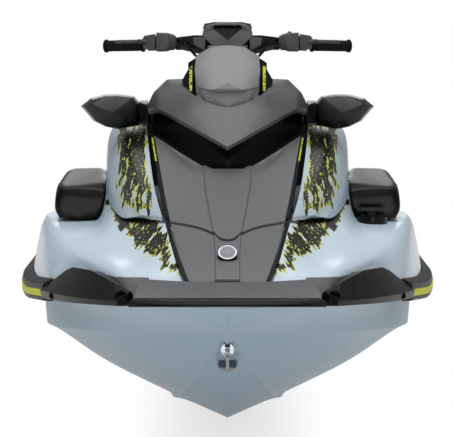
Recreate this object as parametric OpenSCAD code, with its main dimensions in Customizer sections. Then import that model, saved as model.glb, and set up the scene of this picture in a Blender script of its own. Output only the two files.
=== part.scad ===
// Personal watercraft with three seats: a decked V hull with its jet pump, a deck
// moulding, a hood that opens over the front storage, handlebars and a two-piece seat.
// Lengths are in millimetres. Shapes are drawn from the bow tip and the keel baseline,
// then set down with the waterline amidships as the origin: +X port, +Y aft, +Z up.

/* [Hull] */
// Distance from the bow tip to the front edge of the hood
hood_start = 480; // [470:1:495]
// Distance from the bow tip to the front edge of the seat
seat_start = 1500; // [1490:5:1540]
// Length of the two seats together
seat_length = 1380; // [1340:5:1480]
// Length of the boarding platform behind the seat
platform_length = 470; // [440:5:520]
// Width over the rub rail
beam = 1224; // [1200:2:1260]
// Depth of the keel below the water when afloat
draft = 260; // [240:5:280]
// Height of the rub rail above the keel at the bow
rail_height_bow = 427; // [422:1:432]
// Height of the rub rail above the keel at the widest section
rail_height_mid = 358; // [352:1:362]

/* [Rub rail] */
// How far the rub rail stands out from the hull
rail_width = 32; // [26:1:38]
// Height of the rub rail
rail_height = 56; // [50:1:62]
// Height of the coloured stripe set in the rail
stripe_height = 20; // [14:1:26]
// Depth of the groove that holds the stripe
stripe_depth = 5; // [3:1:8]

/* [Hood and cowl] */
// Thickness of the hood mouldings
skin = 12; // [9:1:14]
// Gap around the hood
hood_gap = 8; // [7:1:9]
// How far the hood opens
hood_travel = 48; // [30:1:50]

/* [Storage] */
// Width of the front storage bin
bin_width = 300; // [260:5:310]
// Length of the front storage bin
bin_length = 440; // [380:5:450]
// Depth of the front storage bin
bin_depth = 190; // [150:5:200]
// Wall of the storage bin and of the glove box
bin_wall = 8; // [5:1:10]

/* [Handlebar] */
// Overall width of the handlebar
bar_width = 728; // [700:2:760]
// Diameter of the handlebar tube
bar_d = 25; // [22:1:28]
// Diameter of the hand grips
grip_d = 33; // [30:1:36]
// Length of each grip
grip_length = 112; // [100:1:120]
// How far the bars turn to each side
steer_travel = 20; // [15:1:22]

/* [Jet pump] */
// Bore of the pump housing
pump_bore = 155; // [140:1:160]
// Wall of the pump housing
pump_wall = 12; // [8:1:14]
// Clearance between the impeller and the bore
tip_gap = 1.5; // [1:0.1:3]
// Diameter of the nozzle outlet
nozzle_d = 86; // [80:1:90]
// Height of the pump shaft above the keel
shaft_height = 150; // [145:1:155]

/* [Fittings] */
// Diameter of the hole in the bow eye
bow_eye_hole = 14; // [10:1:18]
// Thickness of the bow eye and the stern eyes
eye_bar = 10; // [8:1:12]
// Diameter of the hole in each stern eye
stern_eye_hole = 16; // [12:1:20]
// Diameter of the fuel filler cap
cap_d = 87; // [80:1:95]

/* [Hidden] */
$fn = 64;
touch = 0.3;
transom_y = seat_start + seat_length + platform_length - 40;
platform_y = seat_start + seat_length;
origin_y = (seat_start + seat_length + platform_length) / 2;
half_beam = beam / 2;

// ---------------------------------------------------------------- curves and lofts

// Secant between two rows of a table, and a tangent that never overshoots.
function secant(t, k, j) = (t[k + 1][j] - t[k][j]) / (t[k + 1][0] - t[k][0]);
function blend_slope(a, b) = a * b <= 0 ? 0 : 2 * a * b / (a + b);
function tangent(t, k, j) = k == 0 ? secant(t, 0, j)
    : k == len(t) - 1 ? secant(t, k - 1, j)
    : blend_slope(secant(t, k - 1, j), secant(t, k, j));
// Which interval of the table holds s.
function interval(t, s) =
    max(0, min(len(t) - 2, len([for (r = t) if (r[0] <= s) 1]) - 1));
// Smooth curve through column j of a table whose first column is the station.
function at(t, s, j = 1) =
    let (k = interval(t, s), h = t[k + 1][0] - t[k][0],
         u = max(0, min(1, (s - t[k][0]) / h)))
    t[k][j] * (2 * pow(u, 3) - 3 * u * u + 1) + h * tangent(t, k, j) * (pow(u, 3) - 2 * u * u + u)
    + t[k + 1][j] * (3 * u * u - 2 * pow(u, 3)) + h * tangent(t, k + 1, j) * (pow(u, 3) - u * u);
// Steps from a to b with n intervals.
function steps(a, b, n) = [for (i = [0:n]) a + (b - a) * i / n];
function reversed(l) = [for (i = [len(l) - 1:-1:0]) l[i]];

// Solid through closed rings that all have the same number of points. With level, each
// ring rises from one point on the centreline, and the ends are cut into level strips.
module loft(rings, level = false) {
    n = len(rings[0]);
    m = len(rings);
    sides = [for (i = [0:m - 2]) for (k = [0:n - 1])
        let (a = i * n + k, b = i * n + (k + 1) % n)
        each k < floor(n / 2) ? [[a, b, b + n], [a, b + n, a + n]] : [[a, b, a + n], [b, b + n, a + n]]];
    strips = concat([[0, 1, n - 1]],
        [for (k = [1:(n - 3) / 2]) each [[k, k + 1, n - k - 1], [k, n - k - 1, n - k]]]);
    end = level ? strips : [[for (k = [0:n - 1]) k]];
    caps = concat([for (f = end) reversed(f)], [for (f = end) [for (k = f) (m - 1) * n + k]]);
    polyhedron(points = [for (r = rings) for (p = r) p], faces = concat(sides, caps), convexity = 8);
}

// Plate between two grids of points, its face and its back.
module shell(face_grid, back_grid) {
    rows = len(face_grid);
    cols = len(face_grid[0]);
    n = rows * cols;
    quads = [for (i = [0:rows - 2]) for (k = [0:cols - 2])
        let (a = i * cols + k)
        each k < (cols - 1) / 2 ? [[a, a + cols, a + 1 + cols], [a, a + 1 + cols, a + 1]]
            : [[a, a + cols, a + 1], [a + 1, a + cols, a + 1 + cols]]];
    under = [for (q = quads) [for (v = reversed(q)) v + n]];
    rim = concat([for (k = [0:cols - 1]) k], [for (i = [1:rows - 1]) i * cols + cols - 1],
        [for (k = [cols - 2:-1:0]) (rows - 1) * cols + k], [for (i = [rows - 2:-1:1]) i * cols]);
    edge = [for (i = [0:len(rim) - 1]) let (a = rim[i], b = rim[(i + 1) % len(rim)])
        each [[a, b, b + n], [a, b + n, a + n]]];
    polyhedron(points = [for (g = [face_grid, back_grid]) for (r = g) for (p = r) p],
        faces = concat(quads, under, edge), convexity = 6);
}
// Plate whose back is its face moved by d.
module slab(grid, d) shell(grid, [for (r = grid) [for (p = r) p + d]]);

// Convex solid through a list of points.
module faceted(pts) {
    hull() polyhedron(points = pts, faces = [[for (i = [0:len(pts) - 1]) i]]);
}

// Points on the port side together with their mirror images.
function both(pts) = [for (m = [-1, 1]) for (p = pts) [m * p.x, p.y, p.z]];

// Round bar between two points.
module bar(a, b, d) {
    v = b - a;
    l = norm(v);
    translate(a) rotate([0, acos(v.z / l), atan2(v.y, v.x)]) cylinder(d = d, h = l);
}

// Hose of diameter d along a list of points, its ring turned square to the route at each.
module tube(pts, d, sides = 10) {
    n = len(pts);
    loft([for (i = [0:n - 1])
        let (v = pts[min(n - 1, i + 1)] - pts[max(0, i - 1)], w = v / norm(v),
             u = cross([0, 0, 1], w) / norm(cross([0, 0, 1], w)), q = cross(w, u))
        [for (k = [0:sides - 1]) pts[i] + d / 2 * (cos(360 * k / sides) * u - sin(360 * k / sides) * q)]]);
}

// A half section closed by its mirror image, with points on the centreline kept single.
function whole(half) = concat(half, [for (i = [len(half) - 1:-1:0]) if (half[i].x != 0)
    [-half[i].x, half[i].y, half[i].z]]);

module afloat() translate([0, -origin_y, -draft]) children();
module starboard_side() mirror([1, 0, 0]) children();

// ---------------------------------------------------------------- shared outlines

// Half width of the moulded edge under the rail, as a share of the full half width.
edge_plan = [[0, 0.14], [12, 0.24], [35, 0.31], [80, 0.38], [180, 0.49], [330, 0.62],
    [540, 0.74], [750, 0.82], [1150, 0.945], [1600, 1], [2400, 1], [2900, 0.96], [3350, 0.88]];
function edge_x(y) = (half_beam - rail_width) * at(edge_plan, y);
// Height of the bond between hull and deck.
bond_line = [[0, rail_height_bow], [200, rail_height_bow - 10], [750, rail_height_mid + 33],
    [1250, rail_height_mid + 4], [1700, rail_height_mid], [3350, rail_height_mid - 12]];
function bond_z(y) = at(bond_line, y);
stations = concat([0, 12, 35, 80, 130, 200, 270, 340, 420, 500, 580, 640, 665, 760, 840, 950, 1080,
    1200, 1300], [seat_start - 100, seat_start - 50, seat_start, seat_start + 100],
    [for (s = [0.2, 0.4, 0.6, 0.8]) seat_start + s * seat_length],
    [platform_y - 10, platform_y + 40, platform_y + 150, transom_y]);
// Outward direction of the edge in plan.
function edge_normal(y) =
    let (a = max(0, y - 15), b = min(transom_y, y + 15), dx = edge_x(b) - edge_x(a), dy = b - a,
         l = norm([dx, dy]))
    [dy / l, -dx / l, 0];
function edge_point(y, out, up) = [edge_x(y), y, bond_z(y) + up] + out * edge_normal(y);

// ---------------------------------------------------------------- hull

keel_rise = 1100;
chine_plan = [[0, 0.005], [120, 0.014], [300, 0.328], [500, 0.552], [750, 0.738], [1000, 0.859],
    [1250, 0.902], [2400, 0.902], [3350, 0.81]];
chine_height = [[0, 412], [60, 375], [120, 340], [350, 322], [600, 303], [900, 283], [1250, 265],
    [3350, 250]];
strakes = [[0, 0], [0.256, 0.215], [0.312, 0.226], [0.327, 0.275], [0.52, 0.45], [0.729, 0.65],
    [0.935, 0.951]];
function keel_z(y) = y < keel_rise ? (rail_height_bow - 17) * pow(1 - y / keel_rise, 2) : 0;
function chine_x(y) = min((half_beam - rail_width) * at(chine_plan, y), edge_x(y) - 20);
function chine_z(y) = max(keel_z(y) + 2, at(chine_height, y));
function hull_section(y) =
    let (kz = keel_z(y), cx = chine_x(y), cz = chine_z(y), ex = edge_x(y), bz = bond_z(y),
         sx = max(cx + 6, ex - 44), top = max(cz + 6, bz - rail_height * 0.45))
    concat([for (s = strakes) [cx * s[0], y, kz + (cz - kz) * s[1]]],
        [[cx, y, cz], [sx, y, min(top, bz - 6)], [ex, y, bz - 4], [ex, y, bz]]);

engine_size = [440, 640, 290];
engine_y = seat_start + 260;
engine_z = 120;
module engine_space(grow) {
    translate([-engine_size.x / 2 - grow, engine_y - grow, engine_z - grow])
        cube(engine_size + [2 * grow, 2 * grow, 2 * grow]);
}

pump_y = transom_y - 470;
pump_length = 250;
tunnel_width = pump_bore + 2 * pump_wall + 54;
tunnel_top = shaft_height + 160;
intake_length = 380;
module pump_tunnel() {
    translate([-tunnel_width / 2, pump_y - 20, -50]) cube([tunnel_width, 700, tunnel_top + 50]);
    translate([0, pump_y - 320, shaft_height]) rotate([-90, 0, 0]) cylinder(d = pump_bore, h = 320);
    translate([-pump_bore / 2, pump_y - 320 - intake_length + 160, -50])
        cube([pump_bore, intake_length - 20, shaft_height + 50]);
}

bin_y = hood_start + 190;
bin_top = 578;
module bin_space(grow) {
    translate([-bin_width / 2 - grow, bin_y - grow, bin_top - bin_depth - grow])
        cube([bin_width + 2 * grow, bin_length + 2 * grow, bin_depth + 300]);
}

eye_y = 190;
eye_z = 299;
eye_sink = 14;
// Frame lying on the sloping stem: +Y down along it, +Z into the hull.
module on_stem() translate([0, eye_y - 28, eye_z]) rotate([-31, 0, 0]) children();
module eye_recess() on_stem() translate([0, 0, -60]) linear_extrude(height = 60 + eye_sink)
    polygon([[-19, -28], [19, -28], [30, 20], [30, 70], [25, 128], [-25, 128], [-30, 70], [-30, 20]]);
shaft_d = 30;
module shaft_bore() translate([0, engine_y + 10, shaft_height]) rotate([-90, 0, 0])
    cylinder(d = shaft_d + 2 * touch, h = pump_y - engine_y);
module main_hull() {
    color("#8b9ba7") afloat() difference() {
        loft([for (y = stations) whole(hull_section(y))], level = true);
        engine_space(touch);
        pump_tunnel();
        bin_space(bin_wall + touch);
        eye_recess();
        shaft_bore();
    }
}

// ---------------------------------------------------------------- deck

// Depth of the ledge that carries the corner bumper, measured square to the edge.
ledge_depth = [[0, 4], [90, 10], [200, 30], [400, 56], [660, 56], [760, 30], [840, 2], [3350, 2]];
ledge_rise = [[0, 4], [90, 10], [660, 12], [760, 30], [840, 44], [3350, 44]];
// Outer wall and top of the gunwale: inward from the edge, and above the bond.
gunwale = [[0, 16, 4.4, 24, 4.7], [80, 26, 6, 45, 8], [200, 60, 20, 84, 24], [270, 68, 36, 92, 44],
    [340, 76, 66, 100, 76],
    [500, 72, 78, 92, 94], [660, 62, 96, 84, 112], [840, 36, 116, 62, 138], [1080, 24, 157, 48, 181],
    [1300, 24, 174, 41, 194], [seat_start, 26, 176, 43, 196], [2200, 30, 150, 46, 166],
    [platform_y - 10, 24, 72, 40, 84], [platform_y + 150, 20, 46, 36, 52], [transom_y, 20, 44, 36, 50]];
// Inner edge of the gunwale's top, then the outer and inner corners of the footwell.
ledge_table = [[0, 50, 431.9, 44, 432, 38, 432.1], [80, 130, 428, 110, 428, 90, 429],
    [200, 160, 442, 145, 443, 125, 444], [270, 190, 464, 165, 466, 140, 468],
    [340, 220, 488, 190, 497, 155, 506],
    [500, 280, 506, 230, 522, 185, 538], [660, 330, 524, 280, 546, 225, 572],
    [840, 372, 540, 345, 552, 315, 572], [1080, 378, 554, 362, 566, 350, 590],
    [1300, 378, 558, 366, 572, 356, 610], [seat_start - 100, 400, 560, 388, 566, 372, 590],
    [seat_start, 440, 556, 425, 380, 235, 374], [2200, 455, 530, 440, 372, 222, 372],
    [platform_y - 10, 440, 428, 425, 374, 215, 376], [platform_y + 40, 430, 396, 410, 388, 240, 392],
    [transom_y, 400, 396, 380, 396, 240, 397]];
// Seam along the foot of the hood, which becomes the shoulder under the seat.
seam_table = [[0, 32, 432.2], [80, 70, 429], [200, 96, 444], [230, 108, 460], [270, 116, 474],
    [480, 140, 546], [650, 168, 591.5], [720, 225, 587], [800, 280, 582.5], [950, 320, 600],
    [1170, 347, 640], [1350, 349, 690], [seat_start - 50, 290, 690], [seat_start, 196, 643],
    [seat_start + 100, 190, 643], [platform_y - 10, 186, 643],
    [platform_y + 40, 186, 396], [transom_y, 186, 398]];
// Height of the deck along its centreline.
crown_table = [[0, 432.5], [80, 430], [200, 442], [350, 498], [480, 536], [600, 562], [700, 580],
    [1300, 600], [seat_start - 50, 640], [seat_start, 655], [platform_y - 10, 655],
    [platform_y + 40, 398], [transom_y, 399]];
// How far in and down the deck steps from the seam to the part under the hood or the seat.
step_table = [[0, 3, -0.1], [80, 3, 3], [180, 3, 8], [300, 3, 15], [640, 3, 15], [665, 24, 14],
    [seat_start - 60, 24, 14], [seat_start + 100, 22, -12], [platform_y - 10, 22, -12],
    [platform_y + 40, 22, -1], [transom_y, 22, -1]];
function seam_x(y) = max(at(seam_table, y, 1), y < 660 ? at(cowl_half, y) + trim_width - 1 : 0);
function seam_z(y) = at(seam_table, y, 2);
function deck_section(y) =
    let (ex = edge_x(y), bz = bond_z(y), foot = at(ledge_depth, y) / max(0.3, edge_normal(y).x),
         sx = seam_x(y), sz = seam_z(y), cz = at(crown_table, y), step = at(step_table, y),
         drop = at(step_table, y, 2))
    concat([[ex, y, bz], [max(ex - foot, 40), y, bz + at(ledge_rise, y)]],
        [for (j = [1, 3]) [ex - at(gunwale, y, j), y, bz + at(gunwale, y, j + 1)]],
        [for (j = [1, 3, 5]) [at(ledge_table, y, j), y, at(ledge_table, y, j + 1)]],
        [[sx, y, sz], [sx - step, y, sz - drop], [0, y, cz]]);

module deck_solid() loft([for (y = stations) whole(deck_section(y))]);
module deck() {
    color("#c3d2de") afloat() difference() {
        deck_solid();
        engine_space(touch);
        bin_space(bin_wall + touch);
    }
}

// ---------------------------------------------------------------- rub rail

rail_start = 770;
rail_stations = concat([rail_start], [for (y = stations) if (y > rail_start + 20) y]);
module rail() {
    low = -rail_height * 0.43;
    high = rail_height * 0.57;
    s = stripe_height / 2;
    loft([for (y = rail_stations) [for (p = [[touch, low], [rail_width - 4, low + 2],
        [rail_width, low + 8], [rail_width, -s], [rail_width - stripe_depth, -s],
        [rail_width - stripe_depth, s], [rail_width, s], [rail_width - 4, high - 4], [touch, high + 8]])
        edge_point(y, p.x, p.y)]]);
}
module rail_left() color("#1c1d1f") afloat() starboard_side() rail();
module rail_right() color("#1c1d1f") afloat() rail();
module rail_stripe() {
    s = stripe_height / 2 - touch;
    loft([for (y = rail_stations) [for (p = [[-stripe_depth + touch, -s], [1, -s], [1, s],
        [-stripe_depth + touch, s]]) edge_point(y, rail_width + p.x, p.y)]]);
}
module rail_stripes() color("#dfe03a") afloat() {
    rail_stripe();
    mirror([1, 0, 0]) rail_stripe();
}

// Faceted block over each corner of the bow.
bumper_inset = [[100, 8], [200, 27], [400, 52], [640, 52], [700, 28], [766, 10]];
bumper_rise = [[100, 26], [200, 50], [350, 78], [500, 80], [620, 62], [760, 40]];
bumper_stations = concat([126], [for (y = stations) if (y >= 130 && y < rail_start - 6) y],
    [rail_start - 4]);
module corner_bumper() {
    loft([for (y = bumper_stations)
        let (h = at(bumper_rise, y), in = at(bumper_inset, y), r = at(ledge_rise, y))
        [for (p = [[4 * touch, -rail_height * 0.45], [rail_width, -rail_height * 0.38], [rail_width + 6, 8],
            [-4, h], [-in * 0.8, h - 6], [-in, r + touch], [touch, touch + 1]]) edge_point(y, p.x, p.y)]]);
}
module corner_bumper_left() color("#232325") afloat() starboard_side() corner_bumper();
module corner_bumper_right() color("#232325") afloat() corner_bumper();

// ---------------------------------------------------------------- bow cover and nose

nose_start = 212;
cowl_centre = [[200, 472], [350, 521], [480, 560], [650, 617], [955, 720], [1170, 800]];
cowl_edge = [[200, 463], [480, 548], [650, 600], [955, 722], [1170, 811]];
cowl_half = [[200, 96], [230, 104], [650, 161], [1170, 216]];
function cowl_point(y, t) = let (w = at(cowl_half, y), c = at(cowl_centre, y), e = at(cowl_edge, y))
    [t * w, y, c + (e - c) * t * t];
// The same surface with its side edges drawn in by d and the running gap.
function panel_point(y, t, d) = cowl_point(y, t * (1 - (d + touch) / at(cowl_half, y)));
// Front edge of the hood across its width, from the middle to the side.
split_line = [[0, 0], [0.12, 8], [0.3, 65], [1, 170]];
function split_y(t) = hood_start + at(split_line, abs(t));
// Running gap along that edge, measured fore and aft where the edge lies most askew.
split_gap = 1.65 * hood_gap;
// Rear edge of the hood panel.
rear_line = [[0, 958], [0.22, 958], [0.26, 965], [0.98, 1164], [1, 1170]];
across = [-1, -0.8, -0.55, -0.3, -0.22, -0.12, 0, 0.12, 0.22, 0.3, 0.55, 0.8, 1];
trim_width = 12;

bow_ys = [90, 60, 35, 12];
function bow_path(out, up) = concat([for (y = bow_ys) let (p = edge_point(y, out, up)) [-p.x, p.y, p.z]],
    [[-60, 1 - out, bond_z(0) + up], [0, -out, bond_z(0) + up], [60, 1 - out, bond_z(0) + up]],
    [for (y = reversed(bow_ys)) edge_point(y, out, up)]);
module bow_cover() {
    lower = bow_path(rail_width - 2, -rail_height * 0.2);
    upper = bow_path(rail_width, 6);
    top = bow_path(rail_width - 12, 14);
    n = len(top);
    rear = [for (i = [0:n - 1]) let (t = 2 * i / (n - 1) - 1)
        [t * 228, nose_start - 14 + 74 * t * t, 470 + 3 * t * t]];
    face = [lower, upper, top, (top + rear) / 2, rear];
    depth = [[0, 12, 0], [0, 12, -2], [0, 8, -8], [0, 0, -10], [0, 0, -10]];
    color("#55565a") afloat() shell(face, [for (i = [0:4]) [for (p = face[i]) p + depth[i]]]);
}

module nose_panel() {
    color("#6a6b6e") afloat() slab([for (k = [0:8]) [for (t = across)
        panel_point(nose_start + (split_y(t) - split_gap - nose_start) * k / 8, t, 2)]], [0, 0, -skin]);
}
module nose_trim() {
    color("#151516") afloat() for (m = [0, 1]) mirror([m, 0, 0])
        slab([for (y = steps(nose_start + 12, 640, 6)) let (p = cowl_point(y, 1))
            [p + [-1, 0, -1], p + [trim_width - 4, 0, 0]]], [0, 0, -skin + 2]);
}
module badge() {
    y = 350;
    p = cowl_point(y, 0);
    color("silver") afloat() translate(p) rotate([17, 0, 0]) cylinder(d = 52, h = 3);
}
module storage_bin() {
    color("#202122") afloat() difference() {
        translate([-bin_width / 2 - bin_wall, bin_y - bin_wall, bin_top - bin_depth - bin_wall])
            cube([bin_width + 2 * bin_wall, bin_length + 2 * bin_wall, bin_depth + bin_wall]);
        translate([-bin_width / 2, bin_y, bin_top - bin_depth]) cube([bin_width, bin_length, bin_depth + 1]);
    }
}
// Chrome eye: a ring facing forward, a bar from it along the keel and a pointed foot.
module bow_eye() {
    ring_d = bow_eye_hole + 2 * eye_bar;
    ring = [0, eye_y - 32, eye_z];
    color("silver") afloat() {
        translate(ring) rotate([90, 0, 0]) difference() {
            cylinder(d = ring_d, h = eye_bar);
            translate([0, 0, -1]) cylinder(d = bow_eye_hole, h = eye_bar + 2);
        }
        bar(ring + [0, -eye_bar / 2, -ring_d / 2 + 2], ring + [0, 92, -62], eye_bar);
        on_stem() {
            translate([-7, -24, -2]) cube([14, 7, eye_sink + 2 - touch]);
            translate([0, 0, -8]) linear_extrude(height = eye_sink + 8 - touch)
                polygon([[-23, 96], [23, 96], [23, 100], [0, 124], [-23, 100]]);
        }
    }
}

// ---------------------------------------------------------------- hood

hinge_d = 5;
hinge_y = hood_start - hinge_d / 2;
hinge_z = 556;
hinge_length = 6;
// The knuckle lies in the gap ahead of the panel and turns on the hood's hinge line.
module hood_knuckle() {
    translate([0, hinge_y, hinge_z]) rotate([0, 90, 0])
        cylinder(d = hinge_d, h = hinge_length, center = true);
    translate([-hinge_length / 2, hinge_y, hinge_z - 2]) cube([hinge_length, hinge_d / 2 + 3, 4]);
}
module hood_panel() {
    color("#6f7073") afloat() hood_knuckle();
    color("#6f7073") afloat() slab([for (k = [0:10]) [for (t = across)
        let (a = split_y(t), b = rear_y(t)) panel_point(a + (b - a) * k / 10, t, 5)]],
        [0, 0, -skin]);
}
function rear_y(t) = at(rear_line, abs(t));
// Columns of the black recess: where each one starts on the rear edge of the hood panel,
// and the point of the brow's lower edge that it ends under.
recess_t = [0, 0.34, 0.62, 0.86, 0.97, 1];
function recess_column(k) = let (t = recess_t[k] * 0.96, y = rear_y(recess_t[k]), a = cowl_point(y - 22, t),
    b = cowl_point(y + 4, t), top = brow_rows[0][k] * 0.7 + brow_rows[1][k] * 0.3 + [0, 4, -12])
    [a - [0, 0, skin + touch], b - [0, 0, skin + touch], b + [0, 26, -2],
        (b + top) / 2 + [0, 24, -4], top];
// Strip along each side of the hood, from its front corner to the end of the recess.
module hood_strip() {
    slab([for (y = steps(668, 1172, 8)) let (p = cowl_point(y, 1))
        [p + [-5, 0, -1], p + [trim_width - 6, 0, 1]]],
        [0, 0, -skin]);
}
module hood_recess() {
    color("#131314") afloat() {
        cols = [for (k = [0:5]) recess_column(k)];
        slab([for (i = [0:4]) whole_row([for (c = cols) c[i]])], [0, 6, -10]);
        for (m = [0, 1]) mirror([m, 0, 0]) hood_strip();
    }
}

// The panel beside the hood, from the strip over the shoulder and down to the seam.
side_inner = [[0, 177, 652, 607], [0.35, 202, 850, 672], [0.8, 230, 1172, 816], [1, 236, 1330, 862]];
side_shoulder = [[0, 215, 704, 605], [0.35, 252, 902, 688], [0.8, 292, 1172, 812], [1, 298, 1330, 852]];
side_wall = [[0, 250, 754, 600], [0.35, 304, 952, 664], [0.8, 340, 1172, 750], [1, 344, 1330, 806]];
side_front = 800;
side_rear = 1330;
function side_curve(t, s) = [at(t, s, 1), at(t, s, 2), at(t, s, 3)];
function side_seam(s) = let (y = side_front + (side_rear - side_front) * s)
    [seam_x(y) + 1, y, seam_z(y) + hood_gap];
function side_row(s) = let (a = side_curve(side_inner, s), b = side_curve(side_shoulder, s),
    c = side_curve(side_wall, s), d = side_seam(s))
    [a, (a + b) / 2 + [0, 0, 3], b, (b + c) / 2 + [5, 0, 5], c, (c + d) / 2 + [6, 0, 2], d];
side_depth = [[0, 0, -1], [0, 0, -1], [-0.5, 0, -0.9], [-0.8, 0, -0.7], [-1, 0, -0.3], [-1, 0, 0],
    [-1, 0, 0]];
module hood_side() {
    face = [for (s = steps(0, 1, 10)) side_row(s)];
    shell(face, [for (r = face) [for (k = [0:6]) r[k] + skin * side_depth[k]]]);
}
module hood_side_left() color("#c3d2de") afloat() starboard_side() hood_side();
module hood_side_right() color("#c3d2de") afloat() hood_side();

// Half of the brow from the middle outwards: lower edge, crease and upper edge.
brow_rows = [
    [[0, 930, 784], [70, 1010, 820], [130, 1085, 850], [186, 1160, 878], [214, 1200, 884], [237, 1250, 878]],
    [[0, 1010, 838], [70, 1050, 856], [124, 1110, 884], [165, 1170, 904], [204, 1225, 922], [214, 1275, 925]],
    [[0, 1086, 888], [52, 1098, 898], [98, 1128, 921], [144, 1180, 926], [162, 1240, 950], [176, 1300, 962]],
    [[0, 1100, 889], [54, 1112, 900], [102, 1142, 926], [118, 1200, 938], [124, 1250, 952],
        [130, 1310, 964]]];
module brow() {
    rows = [for (r = brow_rows) whole_row(r)];
    color("#76777a") afloat() slab(rows, [0, 4, -10]);
}
// Plate that rises from the inner rim of the brow to the side of the instrument shield.
module hood_wings() {
    inner = shield_x + 6;
    color("#151516") afloat() for (m = [0, 1]) mirror([m, 0, 0]) difference() {
        faceted([[inner, 1180, 926], [inner, 1192, 922], [inner, 1252, 1018], [inner, 1264, 1014],
            [131, 1232, 962], [131, 1244, 960], [129, 1232, 948], [129, 1244, 946], [110, 1184, 922],
            [110, 1196, 920]]);
        translate([0, 0, touch]) slab([for (r = brow_rows) whole_row(r)], [0, 24, -60]);
    }
}
function whole_row(r) = concat([for (i = [len(r) - 1:-1:1]) [-r[i].x, r[i].y, r[i].z]], r);

mirror_rim = [[421, 888], [393, 911], [353, 922], [313, 923], [268, 917], [238, 884], [246, 834], [314, 822],
    [350, 829], [385, 846]];
mirror_face_y = 1196;
module mirror_shell() {
    difference() {
        union() {
            faceted(concat([for (p = mirror_rim) [p.x, mirror_face_y, p.y]],
                [for (p = mirror_rim)
                    [p.x - (p.x - 320) * 0.12, mirror_face_y - 46, p.y - (p.y - 872) * 0.08]],
                [[385, 1120, 896], [327, 1102, 872], [262, 1118, 850]]));
            faceted([[219, 1220, 836], [219, 1236, 836], [262, 1150, 834], [262, 1194, 836],
                [219, 1220, 864], [219, 1236, 864], [262, 1150, 866], [262, 1194, 866]]);
        }
        faceted([for (p = mirror_rim) for (dy = [-8, 2])
            [320 + (p.x - 320) * 0.86, mirror_face_y + dy, 872 + (p.y - 872) * 0.82]]);
    }
}
module mirror_left() color("#1b1b1d") afloat() starboard_side() mirror_shell();
module mirror_right() color("#1b1b1d") afloat() mirror_shell();
module mirror_glasses() {
    color("#aab4bc") afloat() for (m = [0, 1]) mirror([m, 0, 0])
        faceted([for (p = mirror_rim) for (dy = [-7.7, -3.7])
            [320 + (p.x - 320) * 0.85, mirror_face_y + dy, 872 + (p.y - 872) * 0.81]]);
}

// ---------------------------------------------------------------- console and binnacle

console_front = side_rear + hood_gap;
console_table = [[console_front, 342, 690, 334, 800, 296, 848, 232, 860],
    [1400, 326, 700, 310, 790, 262, 834, 205, 842], [1460, 262, 690, 246, 770, 218, 808, 170, 818],
    [1492, 204, 662, 200, 740, 184, 780, 150, 792]];
console_rear = seat_start - 8;
function console_section(y) = let (b = at(crown_table, y) + touch, s = y - (seat_start - 1500),
    x = min(seam_x(y), at(console_table, s, 1)))
    concat([[x - 30, y, b - 20], [x, y, seam_z(y) + 4]],
        [for (j = [3, 5, 7]) [at(console_table, s, j), y, at(console_table, s, j + 1)]],
        [[0, y, at(console_table, s, 8) + 4]]);
box_width = 170;
box_y = 1362;
box_length = 104;
box_depth = 120;
lid_z = 838;
lid_pin = 8;
lid_pin_y = box_y + 9;
module console() {
    color("#2c2d30") afloat() difference() {
        union() {
            loft([for (y = concat(steps(console_front, 1460, 5), [console_rear])) whole(console_section(y))]);
            faceted(both([[100, 1128, 590], [100, 1345, 590], [90, 1128, 884 - touch],
                [90, 1345, 884 - touch], [60, 1128, 590], [60, 1130, 862]]));
        }
        translate([0, 0, touch]) deck_solid();
        translate([-box_width / 2, box_y, lid_z - box_depth]) cube([box_width, box_length, 300]);
        translate([0, lid_pin_y, lid_z + 8]) rotate([0, 90, 0])
            cylinder(d = lid_pin + 2 * touch, h = box_width + 18, center = true);
        steering_bore(steer_d + 2 * touch);
    }
}
// Round way for the steering column, of diameter d.
module steering_bore(d) translate(pivot) rotate([-25, 0, 0]) translate([0, 0, -192]) cylinder(d = d, h = 400);
module glove_box_lid() {
    color("#3a3b3e") afloat() {
        translate([-box_width / 2 + 6, box_y + 4, lid_z + 2]) cube([box_width - 12, box_length - 10, 12]);
        translate([0, lid_pin_y, lid_z + 8]) rotate([0, 90, 0])
            cylinder(d = lid_pin, h = box_width + 16, center = true);
    }
}
// Half width of the shield over the instruments.
shield_x = 93;
module binnacle() {
    color("#a0a1a4") afloat() difference() {
        faceted(both([[0, 1128, 932], [66, 1150, 940], [shield_x - 2, 1190, 946], [shield_x, 1225, 985],
            [shield_x, 1285, 1030], [50, 1300, 1056], [0, 1304, 1062], [66, 1352, 1008],
            [shield_x, 1346, 930], [shield_x, 1346, 884], [60, 1136, 884], [0, 1112, 884]]));
        steering_bore(60);
    }
}
module display() {
    color("#0c0d10") afloat() translate([0, 1304, 1062]) rotate([-48.4, 0, 0])
        translate([-58, 8, touch]) cube([116, 54, 6]);
}

// ---------------------------------------------------------------- fittings on the deck

pod_front = 1215;
pod_rear = 1430;
module speaker_pod() difference() {
    faceted(concat(
        [for (p = [[500, 590], [488, 566], [430, 558], [376, 566], [352, 600], [350, 640], [470, 652],
            [496, 636]]) [p.x, pod_front, p.y]],
        [for (p = [[494, 660], [350, 664]]) [p.x, pod_front + 50, p.y]],
        [for (p = [[506, 586], [490, 562], [376, 562], [350, 600], [352, 690], [372, 704], [452, 700],
            [474, 690]]) [p.x, pod_rear, p.y]]));
    clear_of_deck();
}
module speaker_pod_left() color("#1a1b1d") afloat() starboard_side() speaker_pod();
module speaker_pod_right() color("#1a1b1d") afloat() speaker_pod();
// The deck as a cutter for what stands on its port side.
module clear_of_deck() translate([touch, 0, touch]) deck_solid();

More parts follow.
